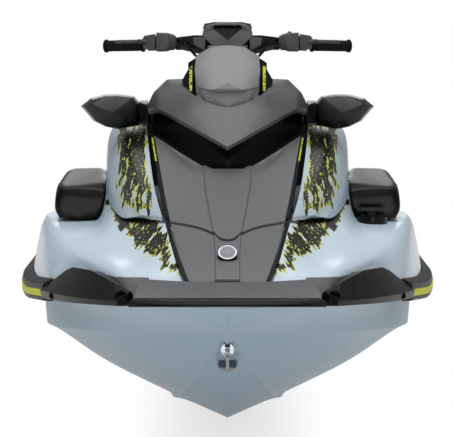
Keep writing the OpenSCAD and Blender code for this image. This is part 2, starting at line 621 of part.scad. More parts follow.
cap_y = 1160;
cap_x = at(ledge_table, cap_y, 1) + 36;
cap_z = at(ledge_table, cap_y, 2) + 17;
module fuel_cap() {
    color("#1a1b1d") afloat() difference() {
        translate([cap_x, cap_y, cap_z]) {
            translate([0, 0, -26]) cylinder(d = cap_d, h = 26);
            cylinder(d = cap_d * 0.72, h = 5);
            translate([-12, -10, 5]) cube([24, 20, 12]);
            translate([-34, -9, 17]) cube([68, 18, 10]);
        }
        clear_of_deck();
    }
}

mat_t = 6;
mat_top = 386.6;
mat_inner = 232;
mat_width = 180;
module footwell_mats() {
    color("#3c3e42") afloat() for (m = [0, 1]) mirror([m, 0, 0])
        slab([for (y = steps(seat_start + 60, platform_y - 50, 6))
            [[mat_inner, y, mat_top], [mat_inner + mat_width, y, mat_top]]], [0, 0, -mat_t]);
}
module platform_mat() {
    color("#3c3e42") afloat() translate([-330, platform_y + 70, 399 + touch])
        cube([660, platform_length - 140, mat_t]);
}

seat_base = 655 + touch;
function seat_section(y, half, top, base) = [[half - 30, y, base], [half, y, base + 14], [half, y, top - 70],
    [half - 18, y, top - 28], [half - 62, y, top - 4], [0, y, top]];
// Stations of the two seats from the front edge: half width, and height of the top.
seat_joint = 0.507 * seat_length;
front_seat = [[4, 150, 776], [60, 160, 790], [0.37 * seat_joint, 172, 784], [0.66 * seat_joint, 178, 790],
    [0.86 * seat_joint, 180, 812], [seat_joint - 20, 178, 838], [seat_joint, 176, 840]];
rear_seat = [[seat_joint + touch, 176, 842], [seat_joint + 60, 180, 848], [0.725 * seat_length, 184, 842],
    [0.87 * seat_length, 180, 846], [seat_length - 40, 168, 838], [seat_length - 6, 150, 800]];
module seat(rows) loft([for (r = rows) whole(seat_section(seat_start + r[0], r[1], r[2], seat_base))]);
module seat_front() color("#232326") afloat() seat(front_seat);
module seat_rear() color("#232326") afloat() seat(rear_seat);
crown_drop = 257;
hump_tilt = -atan2(crown_drop, 50);
module grab_handle() {
    y = platform_y + 40;
    foot = [0, platform_y + 6, 574];
    color("#202124") afloat() {
        bar([-126, y, 640], [126, y, 640], 26);
        for (m = [-1, 1]) {
            bar(foot + [m * 110, 10, 3], [m * 110, y, 640], 20);
            translate(foot + [m * 110, 0, 0]) rotate([hump_tilt, 0, 0])
                translate([-18, -24, 1]) cube([36, 48, 8]);
        }
    }
}
sponson_from = seat_start + 0.6 * seat_length;
sponson_to = platform_y + 150;
sponson_width = [[sponson_from, 10], [sponson_from + 200, 46], [sponson_to - 120, 46], [sponson_to, 12]];
// Outer face of the hull side at station y, at a height up from the chine.
function side_x(y, up) = let (cx = chine_x(y), cz = chine_z(y), sx = max(cx + 6, edge_x(y) - 44),
    top = max(cz + 6, bond_z(y) - rail_height * 0.45)) cx + (sx - cx) * up / (top - cz);
module sponson() {
    loft([for (y = stations) if (y >= sponson_from - 1 && y <= sponson_to + 1)
        let (w = at(sponson_width, y), z = chine_z(y))
        [[side_x(y, 8) + touch, y, z + 8], [side_x(y, 0) + w * 0.8, y, z - 14], [side_x(y, 0) + w, y, z],
            [side_x(y, 0) + w * 0.9, y, z + 24], [side_x(y, 40) + touch, y, z + 40]]]);
}
module sponsons() color("#232325") afloat() for (m = [0, 1]) mirror([m, 0, 0]) sponson();
step_x = 190;
step_z = 205;
step_rise = 118;
step_pin = 12;
module boarding_step() {
    y = transom_y + 26;
    color("#2a2b2e") afloat() {
        for (m = [-1, 1]) difference() {
            union() {
                bar([m * step_x, y, step_z], [m * step_x, y, step_z + step_rise], 18);
                translate([m * step_x, y, step_z]) rotate([0, 90, 0]) cylinder(d = 30, h = 18, center = true);
            }
            translate([m * step_x, y, step_z]) rotate([0, 90, 0])
                cylinder(d = step_pin + 0.4, h = 40, center = true);
        }
        translate([-step_x - 9, y - 9, step_z + step_rise - 9]) cube([2 * step_x + 18, 18, 22]);
    }
}
module step_brackets() {
    y = transom_y + 26;
    for (m = [-1, 1]) for (k = [-1, 1]) {
        translate([m * step_x + k * 17 - 4, transom_y + touch, step_z - 22]) cube([8, 40, 44]);
        translate([m * step_x, transom_y + touch, step_z]) translate([-26, 0, -30]) cube([52, 5, 60]);
    }
    for (m = [-1, 1]) translate([m * step_x, y, step_z]) rotate([0, 90, 0])
        cylinder(d = step_pin, h = 42, center = true);
}
module step_hinges() color("#2a2b2e") afloat() step_brackets();
module stern_eyes() {
    color("silver") afloat() for (x = [-330, 330]) translate([x, transom_y + 0.3, 300]) {
        translate([-20, 0, -24]) cube([40, 6, 48]);
        translate([0, 6 + stern_eye_hole / 2 + eye_bar * 0.6, 0]) rotate([0, 90, 0]) difference() {
            cylinder(d = stern_eye_hole + 2 * eye_bar, h = eye_bar, center = true);
            cylinder(d = stern_eye_hole, h = eye_bar + 2, center = true);
        }
    }
}

// ---------------------------------------------------------------- handlebar

steer_d = 42;
pivot = [0, 1400, 1020];
bar_end = [bar_width / 2, 1560, 1054];
bar_root = [40, 1428, 1062];
function along(x) = bar_root + (bar_end - bar_root) * (x - bar_root.x) / (bar_end.x - bar_root.x);
grip_in = bar_width / 2 - 4 - grip_length;
// The bar bends down between the controls and its clamp on the column.
bar_bend = grip_in - 104;
clamp = [40, 1424, 1036];
module clamp_round(d, length) translate([0, clamp.y, clamp.z]) rotate([0, 90, 0])
    cylinder(d = d, h = length, center = true);
module handlebar() {
    color("#1d1d1f") afloat() {
        for (m = [0, 1]) mirror([m, 0, 0]) {
            bar(along(bar_bend), along(bar_width / 2 - 2), bar_d);
            bar(along(bar_bend - 9), along(bar_bend + 6), bar_d + 6);
            bar(clamp, along(bar_bend), bar_d);
        }
        clamp_round(bar_d + 10, 2 * clamp.x + 14);
        translate(pivot) rotate([-25, 0, 0]) translate([0, 0, -190]) cylinder(d = steer_d, h = 242);
    }
}
module bar_pad() {
    color("#8d8e91") afloat() difference() {
        faceted(both([[60, 1392, 1072], [30, 1384, 1060], [72, 1404, 1110], [68, 1425, 1122],
            [40, 1430, 1127], [64, 1462, 1112], [58, 1462, 1078], [40, 1400, 1050]]));
        clamp_round(bar_d + 11, 2 * clamp.x + 16);
        for (m = [0, 1]) mirror([m, 0, 0]) bar(clamp, along(bar_bend), bar_d + 1);
        translate(pivot) rotate([-25, 0, 0]) translate([0, 0, -90]) cylinder(d = 43, h = 144);
    }
}
module grips() {
    color("#161617") afloat() for (m = [0, 1]) mirror([m, 0, 0]) difference() {
        union() {
            bar(along(grip_in), along(bar_width / 2 - 6), grip_d);
            bar(along(bar_width / 2 - 6), along(bar_width / 2), grip_d + 6);
        }
        bar(along(grip_in - 10), along(bar_width / 2 - 2), bar_d + 0.1);
    }
}
// Keeps the controls beside the inner end of the grip.
grip_shift = along(grip_in) - [248, 1513, 1057];
module switch_housings() {
    color("#1b1b1d") afloat() for (m = [0, 1]) mirror([m, 0, 0]) difference() {
        translate(grip_shift) {
            faceted([[156, 1446, 1044], [156, 1450, 1082], [160, 1500, 1092], [160, 1504, 1044],
                [232, 1478, 1042], [228, 1484, 1084], [236, 1530, 1078], [236, 1534, 1040]]);
            bar([214, 1478, 1064], [262, 1452, 1070], 14);
            bar([262, 1452, 1070], [330, 1476, 1068], 11);
        }
        bar(along(grip_in - 108), along(grip_in + 12), bar_d + 0.1);
    }
}
// Route of the hose from each switch housing down to the foot of the pad.
hose_route = [[153, 1465, 1078] + grip_shift, [140, 1452, 1076] + grip_shift * 0.7,
    [126, 1432, 1066] + grip_shift * 0.3, [112, 1418, 1050], [98, 1408, 1034],
    [84, 1404, 1018], [68, 1402, 1006], [50, 1396, 996], [38, 1390, 990], [28, 1384, 984]];
module steering_hoses() {
    color("#101011") afloat() for (m = [0, 1]) mirror([m, 0, 0]) tube(hose_route, 9);
}

// ---------------------------------------------------------------- jet drive

pump_od = pump_bore + 2 * pump_wall;
outlet_r = nozzle_d / 2 + 6;
nozzle_pivot = pump_length + 102;
bell_r = outlet_r + 26;
bucket_pivot = pump_length + 80;
bucket_r = 146;
nozzle_pin = 12;
bucket_pin = 16;
bucket_half = tunnel_width / 2 - 6;
ear_x = bucket_half - 19;
module pump_housing() {
    color("#3b3d40") afloat() translate([0, pump_y, shaft_height]) rotate([-90, 0, 0]) {
        difference() {
            union() {
                cylinder(d = pump_od, h = pump_length);
                translate([0, 0, touch - 20]) cylinder(d = pump_od + 24, h = 20 - touch);
                translate([0, 0, pump_length]) cylinder(d1 = pump_od, r2 = outlet_r, h = 50);
                translate([0, 0, pump_length + 50]) cylinder(r = outlet_r, h = 50);
                for (m = [-1, 1]) {
                    translate([m * (ear_x + 4) - 4, -22, pump_length - 50]) cube([8, 44, 150]);
                    translate([m * (ear_x - 6) - 10, -22, pump_length - 50]) cube([20, 44, 48]);
                    translate([-15, m * (bell_r + 10) - 4, pump_length + 20]) cube([30, 8, 98]);
                    translate([-15, m * (bell_r - 10) - 16, pump_length + 20]) cube([30, 32, 12]);
                }
            }
            translate([0, 0, -21]) cylinder(d = pump_bore, h = pump_length + 21);
            translate([0, 0, pump_length - 1]) cylinder(d1 = pump_bore, d2 = nozzle_d, h = 52);
            translate([0, 0, pump_length + 50]) cylinder(d = nozzle_d, h = 51);
            translate([0, 0, nozzle_pivot]) rotate([90, 0, 0])
                cylinder(d = nozzle_pin + 0.4, h = 300, center = true);
        }
        for (m = [-1, 1]) translate([m * (ear_x + 7), 0, bucket_pivot]) rotate([0, m * 90, 0])
            cylinder(d = bucket_pin, h = 14);
    }
}
// Helical blade of tip radius r, thickness t, length l and total turn in degrees.
module blade(r, t, l, turn) {
    loft([for (k = [0:8]) let (a = turn * k / 8, z = 5 + l * k / 8)
        [for (p = [[12, -t / 2], [12, t / 2], [r, t / 2], [r, -t / 2]])
            [p.x * cos(a) - p.y * sin(a), p.x * sin(a) + p.y * cos(a), z]]]);
}
shaft_reach = pump_y + 30 - engine_y - engine_size.y - touch;
module impeller() {
    color("#b9bcc0") afloat() translate([0, pump_y + 30, shaft_height]) rotate([-90, 0, 0]) {
        cylinder(d1 = 40, d2 = 64, h = 90);
        translate([0, 0, -shaft_reach]) cylinder(d = shaft_d, h = shaft_reach + 1);
        for (a = [0:120:240]) rotate(a) blade(pump_bore / 2 - tip_gap, 6, 80, 80);
    }
}
module steering_nozzle() {
    l = 110;
    color("#3b3d40") afloat() translate([0, pump_y + nozzle_pivot - 16, shaft_height]) rotate([-90, 0, 0])
        difference() {
            union() {
                cylinder(r1 = bell_r, d2 = nozzle_d + 10, h = l);
                translate([0, 0, 16]) rotate([90, 0, 0])
                    cylinder(d = nozzle_pin, h = 2 * (bell_r + 14), center = true);
            }
            translate([0, 0, -1]) cylinder(r1 = bell_r - 7, d2 = nozzle_d - 2, h = l + 2);
        }
}
// Pie-shaped outline of the bucket's side about its pivot, from angle a to b.
function sector(r, a, b) =
    concat([[0, 0]], [for (t = steps(a, b, 8)) [r * cos(t), r * sin(t)]]);
module reverse_bucket() {
    w = bucket_half;
    color("#46484c") afloat() translate([0, pump_y + bucket_pivot, shaft_height]) rotate([90, 0, 90])
        difference() {
            union() {
                rotate([0, 0, 20]) rotate_extrude(angle = 90)
                    translate([bucket_r - 10, -w]) square([10, 2 * w]);
                for (m = [-1, 1]) translate([0, 0, m * (w - 5) - 4]) {
                    linear_extrude(height = 8) polygon(sector(bucket_r - 4, 22, 108));
                    cylinder(d = 40, h = 8);
                }
            }
            cylinder(d = bucket_pin + 0.4, h = 400, center = true);
        }
}
module ride_plate() {
    color("#2a2c2f") afloat() translate([-tunnel_width / 2 + touch, pump_y - 20 + touch, 20])
        cube([tunnel_width - 2 * touch, 400, 8]);
}
module intake_grate() {
    color("#33363a") afloat() {
        for (x = [-48, -16, 16, 48]) translate([x - 5, pump_y - 500, 22]) cube([10, intake_length - 60, 16]);
        translate([-74, pump_y - 500, 22]) cube([148, 20, 16]);
        translate([-74, pump_y - 200, 22]) cube([148, 20, 16]);
    }
}
module engine_block() {
    color("#5c5f63") afloat() translate([-engine_size.x / 2, engine_y, engine_z]) cube(engine_size);
}

main_hull();
deck();
rail_left();
rail_right();
rail_stripes();
bow_cover();
corner_bumper_left();
corner_bumper_right();
nose_panel();
nose_trim();
badge();
storage_bin();
console();
binnacle();
display();
speaker_pod_left();
speaker_pod_right();
fuel_cap();
seat_front();
seat_rear();
grab_handle();
footwell_mats();
platform_mat();
sponsons();
ride_plate();
intake_grate();
pump_housing();
engine_block();
bow_eye();
stern_eyes();
hood_panel();
hood_side_left();
hood_side_right();
hood_recess();
brow();
hood_wings();
mirror_left();
mirror_right();
mirror_glasses();
handlebar();
bar_pad();
grips();
switch_housings();
steering_hoses();
glove_box_lid();
steering_nozzle();
reverse_bucket();
impeller();
boarding_step();
step_hinges();
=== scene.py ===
import math

import bmesh
import bpy
from mathutils import Matrix, Vector
from mathutils.bvhtree import BVHTree


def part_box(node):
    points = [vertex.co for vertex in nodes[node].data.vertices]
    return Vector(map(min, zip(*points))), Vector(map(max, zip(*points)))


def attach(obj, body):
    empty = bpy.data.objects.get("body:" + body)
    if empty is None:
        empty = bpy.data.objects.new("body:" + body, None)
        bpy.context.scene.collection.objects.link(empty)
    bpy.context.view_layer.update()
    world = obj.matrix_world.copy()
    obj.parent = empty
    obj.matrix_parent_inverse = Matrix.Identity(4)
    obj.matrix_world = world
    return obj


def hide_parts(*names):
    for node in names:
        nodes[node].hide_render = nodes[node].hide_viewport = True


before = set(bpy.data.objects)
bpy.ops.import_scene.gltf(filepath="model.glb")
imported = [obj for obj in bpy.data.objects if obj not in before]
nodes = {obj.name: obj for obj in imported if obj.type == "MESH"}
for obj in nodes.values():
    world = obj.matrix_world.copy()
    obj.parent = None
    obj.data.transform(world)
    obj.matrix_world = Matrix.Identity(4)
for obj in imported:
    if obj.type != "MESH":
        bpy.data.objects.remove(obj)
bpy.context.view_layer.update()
scene = bpy.context.scene
scene.view_settings.view_transform = "Standard"

# ---- Studio ----
# The craft hangs just clear of a plain pale floor, seen straight from the bow through
# a long lens. One large soft box overhead lights it, with weaker ones ahead, astern and
# on each side, and a low strip for the light that a white floor throws up.

lens_data = bpy.data.cameras.new("bow_camera")
lens_data.sensor_width = 36
lens_data.lens = 267
lens_data.shift_x = -0.0011
lens_data.clip_end = 200  # metres
bow_camera = bpy.data.objects.new("bow_camera", lens_data)
scene.collection.objects.link(bow_camera)
bow_camera.location = (0, -10.148, 0.981)
looking_down = 4  # degrees
bow_camera.rotation_euler = (math.radians(90 - looking_down), 0, 0)
scene.camera = bow_camera


def node(tree, kind, settings=None, **inputs):
    """A shader node with its settings written and its inputs set by name, or by _ and a
    number where names repeat. A socket is linked, a value is written."""
    made = tree.nodes.new(kind)
    for key, value in (settings or {}).items():
        setattr(made, key, value)
    for key, value in inputs.items():
        slot = made.inputs[int(key[1:])] if key[0] == "_" else made.inputs[key.replace("_", " ")]
        if isinstance(value, bpy.types.NodeSocket):
            tree.links.new(value, slot)
        else:
            slot.default_value = value
    return made


def maths(tree, operation, *values, clamp=False):
    """One step of arithmetic on sockets and numbers, held between 0 and 1 if clamp is set."""
    inputs = {"_%d" % i: value for i, value in enumerate(values)}
    settings = {"operation": operation, "use_clamp": clamp}
    return node(tree, "ShaderNodeMath", settings, **inputs).outputs[0]


def on_piece(tree):
    """The coordinates of a point on a piece, in metres, in the craft's frame."""
    return tree.nodes.new("ShaderNodeTexCoord").outputs["Object"]


def eased_ramp(tree, value, start, end):
    """0 before start, 1 past end, smooth between, as a socket."""
    smooth = {"interpolation_type": "SMOOTHSTEP"}
    made = node(tree, "ShaderNodeMapRange", smooth, Value=value, From_Min=start, From_Max=end)
    return made.outputs[0]


def mixed(tree, share, first, second):
    """A shader that goes from the first to the second by a share from 0 to 1."""
    return node(tree, "ShaderNodeMixShader", _0=share, _1=first, _2=second).outputs[0]


def seen_directly(tree):
    """1 on camera, glossy and transmission rays, so that the white set is seen and mirrored."""
    path = tree.nodes.new("ShaderNodeLightPath").outputs
    seen = maths(tree, "MAXIMUM", path["Is Camera Ray"], path["Is Glossy Ray"])
    return maths(tree, "MAXIMUM", seen, path["Is Transmission Ray"])


def in_scene(bm, name):
    """An object of this name made from a bmesh, which is used up."""
    mesh = bpy.data.meshes.new(name)
    bm.to_mesh(mesh)
    bm.free()
    made = bpy.data.objects.new(name, mesh)
    scene.collection.objects.link(made)
    return made


floor_gap = 0.003
floor_reach = 40
shadow_reach = 0.42
floor_lift = 0.1
floor_height = nodes["main_hull"].bound_box[0][2] - floor_gap
bm = bmesh.new()
bmesh.ops.create_grid(bm, x_segments=1, y_segments=1, size=floor_reach)
bmesh.ops.translate(bm, verts=bm.verts, vec=(0, 0, floor_height))
studio_floor = in_scene(bm, "studio_floor")

# The paper catches the craft's shadow around it and fades to bare white further out. It
# can't be seen from below, so that it doesn't hide the underside.
paper = bpy.data.materials.new("floor_paper")
paper.use_nodes = True
tree = paper.node_tree
sheet = tree.nodes["Principled BSDF"]
sheet.inputs["Base Color"].default_value = (0.8, 0.8, 0.8, 1)
sheet.inputs["Roughness"].default_value = 1
sheet.inputs["Specular IOR Level"].default_value = 0
lift = maths(tree, "MULTIPLY", seen_directly(tree), floor_lift)
glow = node(tree, "ShaderNodeEmission", Strength=lift).outputs[0]
lifted = node(tree, "ShaderNodeAddShader", _0=sheet.outputs[0], _1=glow).outputs[0]
squeezed = node(tree, "ShaderNodeMapping", Vector=on_piece(tree), Scale=(1, 0.05, 1)).outputs[0]
distance = node(tree, "ShaderNodeVectorMath", {"operation": "LENGTH"}, _0=squeezed).outputs["Value"]
fade = eased_ramp(tree, distance, 0.0, shadow_reach)
bare_share = maths(tree, "MULTIPLY", fade, seen_directly(tree))
bare = tree.nodes.new("ShaderNodeEmission").outputs[0]
top = mixed(tree, bare_share, lifted, bare)
underside = tree.nodes.new("ShaderNodeNewGeometry").outputs["Backfacing"]
clear = tree.nodes.new("ShaderNodeBsdfTransparent").outputs[0]
tree.links.new(mixed(tree, underside, top, clear), tree.nodes["Material Output"].inputs["Surface"])
studio_floor.data.materials.append(paper)

world = bpy.data.worlds.new("studio_air")
world.use_nodes = True
scene.world = world
tree = world.node_tree
air = tree.nodes["Background"]
air.inputs["Color"].default_value = (0.66, 0.67, 0.68, 1)
air.inputs["Strength"].default_value = 0.42
white = node(tree, "ShaderNodeBackground", Color=(1, 1, 1, 1), Strength=1).outputs[0]
camera_ray = tree.nodes.new("ShaderNodeLightPath").outputs["Is Camera Ray"]
backdrop = mixed(tree, camera_ray, air.outputs[0], white)
tree.links.new(backdrop, tree.nodes["World Output"].inputs["Surface"])

for name, place, aim, size, power in (
    ("soft_box", (0, -0.4, 3.6), (0, -0.2, 0.3), (3.6, 3.6), 98),
    ("soft_box_front", (0, -5.5, 3.6), (0, 0, 0.4), (3.4, 3.4), 46),
    ("soft_box_left", (-4.2, -1.5, 1.7), (0, -0.3, 0.3), (2.2, 2.2), 5),
    ("soft_box_right", (4.2, -1.5, 1.7), (0, -0.3, 0.3), (2.2, 2.2), 5),
    ("soft_box_stern", (0, 5.0, 2.4), (0, 0.5, 0.3), (2.5, 2.5), 40),
    ("floor_bounce", (0, -4.4, -0.1), (0, -0.6, 0.1), (3.0, 0.24), 30),
):
    lamp_data = bpy.data.lights.new(name, "AREA")
    lamp_data.shape = "RECTANGLE"
    lamp_data.size, lamp_data.size_y = size
    lamp_data.energy = power
    lamp = bpy.data.objects.new(name, lamp_data)
    scene.collection.objects.link(lamp)
    lamp.location = place
    lamp.rotation_euler = (Vector(aim) - Vector(place)).to_track_quat("-Z", "Y").to_euler()

# ---- Hull ----
# The hull is one glass-fibre moulding in blue-grey gelcoat: a keel, spray strakes on each
# side, a hard chine, and the pump tunnel under the stern.


def linear(colour):
    """A colour as it shows, 0 to 255, as the shader's linear values."""
    tones = [c / 255 for c in colour]
    return [t / 12.92 if t <= 0.04045 else ((t + 0.055) / 1.055) ** 2.4 for t in tones] + [1]


def blended(tree, share, below, above):
    """The colour above laid over the colour below by a share from 0 to 1."""
    return node(tree, "ShaderNodeMix", {"data_type": "RGBA"}, _0=share, _6=below, _7=above).outputs[2]


def overlaid(material, share, colour):
    """Lays a plain colour over a finish by a share from 0 to 1."""
    tree = material.node_tree
    socket = tree.nodes["Principled BSDF"].inputs["Base Color"]
    tree.links.new(blended(tree, share, socket.links[0].from_socket, linear(colour)), socket)


def clouds(tree, where, scale, detail=3.0, stretch=None):
    """Soft noise from 0 to 1 in the coordinates given, drawn out by stretch."""
    if stretch:
        where = node(tree, "ShaderNodeMapping", Vector=where, Scale=stretch).outputs[0]
    return node(tree, "ShaderNodeTexNoise", Vector=where, Scale=scale, Detail=detail).outputs["Fac"]


def finish(name, colour, roughness, *, drift=0.1, patch=5, grain=400, depth=0.00001,
           metal=0.0, coat=0.0, shine=0.5, spread=0.02, sheen=0.0):
    """A moulded finish. Its tone drifts by a share over a number of patches to the metre,
    its gloss is uneven by spread, and its grain is so many to the metre and so deep."""
    made = bpy.data.materials.new(name)
    made.use_nodes = True
    tree = made.node_tree
    shader = tree.nodes["Principled BSDF"]
    where = on_piece(tree)
    tone = linear(colour)
    dark = [c * (1 - drift) for c in tone[:3]] + [1]
    pale = [min(1, c * (1 + drift)) for c in tone[:3]] + [1]
    paint = blended(tree, clouds(tree, where, patch, 4.0), dark, pale)
    tree.links.new(paint, shader.inputs["Base Color"])
    worn = clouds(tree, where, grain * 0.13, 5.0)
    gloss = node(tree, "ShaderNodeMapRange", Value=worn, From_Min=0.3, From_Max=0.7,
                 To_Min=max(0.02, roughness - spread), To_Max=min(1, roughness + spread))
    tree.links.new(gloss.outputs[0], shader.inputs["Roughness"])
    grains = clouds(tree, where, grain, 2.0)
    relief = node(tree, "ShaderNodeBump", Height=grains, Distance=depth, Strength=0.6)
    tree.links.new(relief.outputs[0], shader.inputs["Normal"])
    shader.inputs["Metallic"].default_value = metal
    shader.inputs["Coat Weight"].default_value = coat
    shader.inputs["Coat Roughness"].default_value = 0.12
    shader.inputs["Specular IOR Level"].default_value = shine
    shader.inputs["Sheen Weight"].default_value = sheen
    return made


def welded(*names):
    """The loose triangles of these solids as one joined bmesh."""
    bm = bmesh.new()
    for name in names:
        bm.from_mesh(nodes[name].data)
    bmesh.ops.remove_doubles(bm, verts=bm.verts, dist=0.00002)
    return bm


def piece(bm, name, material, body, stands_for=(), smooth=35):
    """Writes a finished bmesh as a piece of this name that rides on its body."""
    made = in_scene(bm, name)
    made.data.materials.append(material)
    made.data.shade_smooth()
    made.data.set_sharp_from_angle(angle=math.radians(smooth))
    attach(made, body)
    if stands_for:
        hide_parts(*stands_for)
    return made


def eased(made, width, angle=35, segments=3):
    """Rounds the edges sharper than angle by width."""
    bevel = made.modifiers.new("eased_edges", "BEVEL")
    bevel.width = width
    bevel.segments = segments
    bevel.limit_method = "ANGLE"
    bevel.angle_limit = math.radians(angle)
    bevel.harden_normals = False
    return made


def creased(source, soft, hard):
    """A solid's triangles joined to quads, its sharp edges marked to stay when it is smoothed."""
    bm = welded(source)
    bmesh.ops.join_triangles(bm, faces=bm.faces, angle_face_threshold=math.radians(25),
                             angle_shape_threshold=math.radians(180))
    crease = bm.edges.layers.float.new("crease_edge")
    for e in bm.edges:
        if e.is_manifold:
            bend = math.degrees(e.calc_face_angle())
            e[crease] = max(0.0, min(1.0, (bend - soft) / (hard - soft)))
    return bm


def faired(source, material, body="craft", *, soft=14, hard=60, levels=2, edge=0.002, shift=None):
    """A smooth moulding over a lofted solid: flat creases melt away and sharp ones stay."""
    bm = creased(source, soft, hard)
    for v in bm.verts if shift else ():
        v.co.z += shift(v.co)
    made = piece(bm, source + "_skin", material, body, [source], smooth=30)
    surface = made.modifiers.new("fairing", "SUBSURF")
    surface.levels = surface.render_levels = levels
    if edge:
        eased(made, edge, 40, 2)
    return made


hull_gelcoat = finish("hull_gelcoat", (158, 178, 191), 0.42, drift=0.02, patch=1.2, grain=60,
                      shine=0.24)


def forefoot(p):
    """The keel rises a little earlier towards the bow than the plain loft does."""
    share = max(0.0, min(1.0, (p.z + 0.24) / 0.2))
    return 0.013 * math.exp(-((p.y + 0.7) / 0.3) ** 2) * (1 - share)


faired("main_hull", hull_gelcoat, hard=40, shift=forefoot)

# ---- Deck ----
# The deck moulding in pale gelcoat is bonded over the hull: bow fenders, gunwales,
# footwells, the plinth under the seat and the boarding platform. Its flanks carry a film
# of short dark and yellow dashes that ends in a ragged edge.

ragged_edge = 0.03


def place_of(tree):
    """A point's distance from the centreline, its station and its height, as sockets."""
    apart = node(tree, "ShaderNodeSeparateXYZ", Vector=on_piece(tree)).outputs
    return maths(tree, "ABSOLUTE", apart[0]), apart[1], apart[2]


def least(tree, first, second):
    """The smaller of two distances, which is how far inside both limits a point lies."""
    return maths(tree, "MINIMUM", first, second)


def over(tree, value, limit, sharpness=90.0):
    """1 where a value is well over a limit and 0 below it."""
    return maths(tree, "MULTIPLY", maths(tree, "SUBTRACT", value, limit), sharpness, clamp=True)


def streaked(material, inside, lean):
    """Lays dark and yellow dashes over a finish, on the faces that look up. inside gives,
    from the tree and the place, how deep a point lies in the film; lean is in degrees."""
    tree = material.node_tree
    x, y, z = place_of(tree)
    both_sides = node(tree, "ShaderNodeCombineXYZ", X=x, Y=y, Z=z).outputs[0]
    turn = (0, math.radians(lean), 0)
    leaning = node(tree, "ShaderNodeMapping", Vector=both_sides, Rotation=turn).outputs[0]
    dashes = clouds(tree, leaning, 1.0, 3.0, (150, 12, 30))
    specks = clouds(tree, leaning, 1.0, 2.0, (230, 60, 90))
    patches = clouds(tree, leaning, 1.0, 1.0, (40, 4, 6))
    depth = inside(tree, x, y, z)
    ragged = maths(tree, "MULTIPLY_ADD", maths(tree, "SUBTRACT", dashes, 0.5), ragged_edge, depth)
    normal = tree.nodes.new("ShaderNodeTexCoord").outputs["Normal"]
    upward = node(tree, "ShaderNodeSeparateXYZ", Vector=normal).outputs[2]
    outside = maths(tree, "MULTIPLY_ADD", upward, 40.0, 1.6, clamp=True)
    film = maths(tree, "MULTIPLY", maths(tree, "MULTIPLY", ragged, 500.0, clamp=True), outside)
    middle = maths(tree, "MULTIPLY", maths(tree, "SUBTRACT", depth, 0.014), 7.0)
    fuller = maths(tree, "MINIMUM", middle, 0.07)
    mixture = maths(tree, "MULTIPLY_ADD", dashes, 0.55, fuller)
    body = maths(tree, "MULTIPLY_ADD", patches, 0.45, mixture)
    dark = over(tree, body, 0.5)
    rim = over(tree, body, 0.474)
    dots = over(tree, specks, 0.64)
    bright = maths(tree, "MULTIPLY", maths(tree, "MAXIMUM", rim, dots), film)
    undotted = maths(tree, "SUBTRACT", 1.0, dots)
    black = maths(tree, "MULTIPLY", maths(tree, "MULTIPLY", dark, film), undotted)
    overlaid(material, bright, (200, 206, 58))
    overlaid(material, black, (26, 27, 29))


def flank_film(tree, x, y, z):
    """The film on the deck fills the corner between the nose and a curve up the fender."""
    out = maths(tree, "SUBTRACT", x, 0.119)
    slope = maths(tree, "MULTIPLY_ADD", out, 1.14, 0.364)
    above = maths(tree, "SUBTRACT", z, maths(tree, "MULTIPLY_ADD", slope, out, 0.205))
    outboard = maths(tree, "SUBTRACT", x, maths(tree, "MULTIPLY_ADD", z, 0.653, -0.038))
    below = maths(tree, "SUBTRACT", 0.37, z)
    ahead = maths(tree, "SUBTRACT", -0.38, y)
    return least(tree, least(tree, above, outboard), least(tree, below, ahead))


deck_gelcoat = finish("deck_gelcoat", (208, 225, 237), 0.26, drift=0.02, patch=1.4, grain=60, coat=0.05,
                      shine=0.22)
streaked(deck_gelcoat, flank_film, 38)
faired("deck", deck_gelcoat, soft=20, hard=75)

# ---- Rub rails ----
# An extruded black rubber rail is screwed along each side over the bond line, and a
# yellow vinyl strip is pressed into its groove.

sides = (("left", -1), ("right", 1))
rail_rubber = finish("rail_rubber", (12, 12, 13), 0.5, drift=0.12, patch=9, grain=500, depth=0.00003,
                     shine=0.3, spread=0.03)
stripe_vinyl = finish("stripe_vinyl", (218, 219, 30), 0.5, drift=0.03, shine=0.15)
for side, _ in sides:
    rail = "rail_" + side
    eased(piece(welded(rail), "rub_" + rail, rail_rubber, "craft", [rail]), 0.004, 25)
bm = welded("rail_stripes")
strips = piece(bm, "rail_strips", stripe_vinyl, "craft", ["rail_stripes"])
eased(strips, 0.0008, 40, 2)

# ---- Bow cover ----
# A grey moulded cover wraps the top of the bow between the bumpers, over a black lip of
# rubber. Both follow the bow's edge.

half_length = 1675  # mm from the bow tip to midships
draught = 260  # mm from the keel line to the waterline


def spot(x, y, z):
    """A point given in millimetres from the bow tip and the keel line."""
    return Vector((x, y - half_length, z - draught)) / 1000


def cut_off(bm, point, normal, above=False):
    """Cuts a closed shape by a plane, drops one side of it and closes the cut."""
    cut = bmesh.ops.bisect_plane(bm, geom=bm.verts[:] + bm.edges[:] + bm.faces[:], dist=1e-6,
                                 plane_co=point, plane_no=normal,
                                 clear_inner=not above, clear_outer=above)
    rim = [e for e in cut["geom_cut"] if isinstance(e, bmesh.types.BMEdge)]
    bmesh.ops.holes_fill(bm, edges=rim)


def flattened(bm, angle):
    """Joins neighbouring faces that lie flat to within an angle in degrees."""
    bmesh.ops.dissolve_limit(bm, angle_limit=math.radians(angle), verts=bm.verts, edges=bm.edges)


def banded(source, name, material, low, high, stands_for=()):
    """The part of a solid's skin between two heights at the bow tip, both of which fall a
    little towards the sides. It is closed where it is cut."""
    bm = welded(source)
    for height, above in ((low, False), (high, True)):
        cut_off(bm, (0, -1.707, height), (0, 0.1, 1), above)
    flattened(bm, 0.5)
    return piece(bm, name, material, "craft", stands_for)


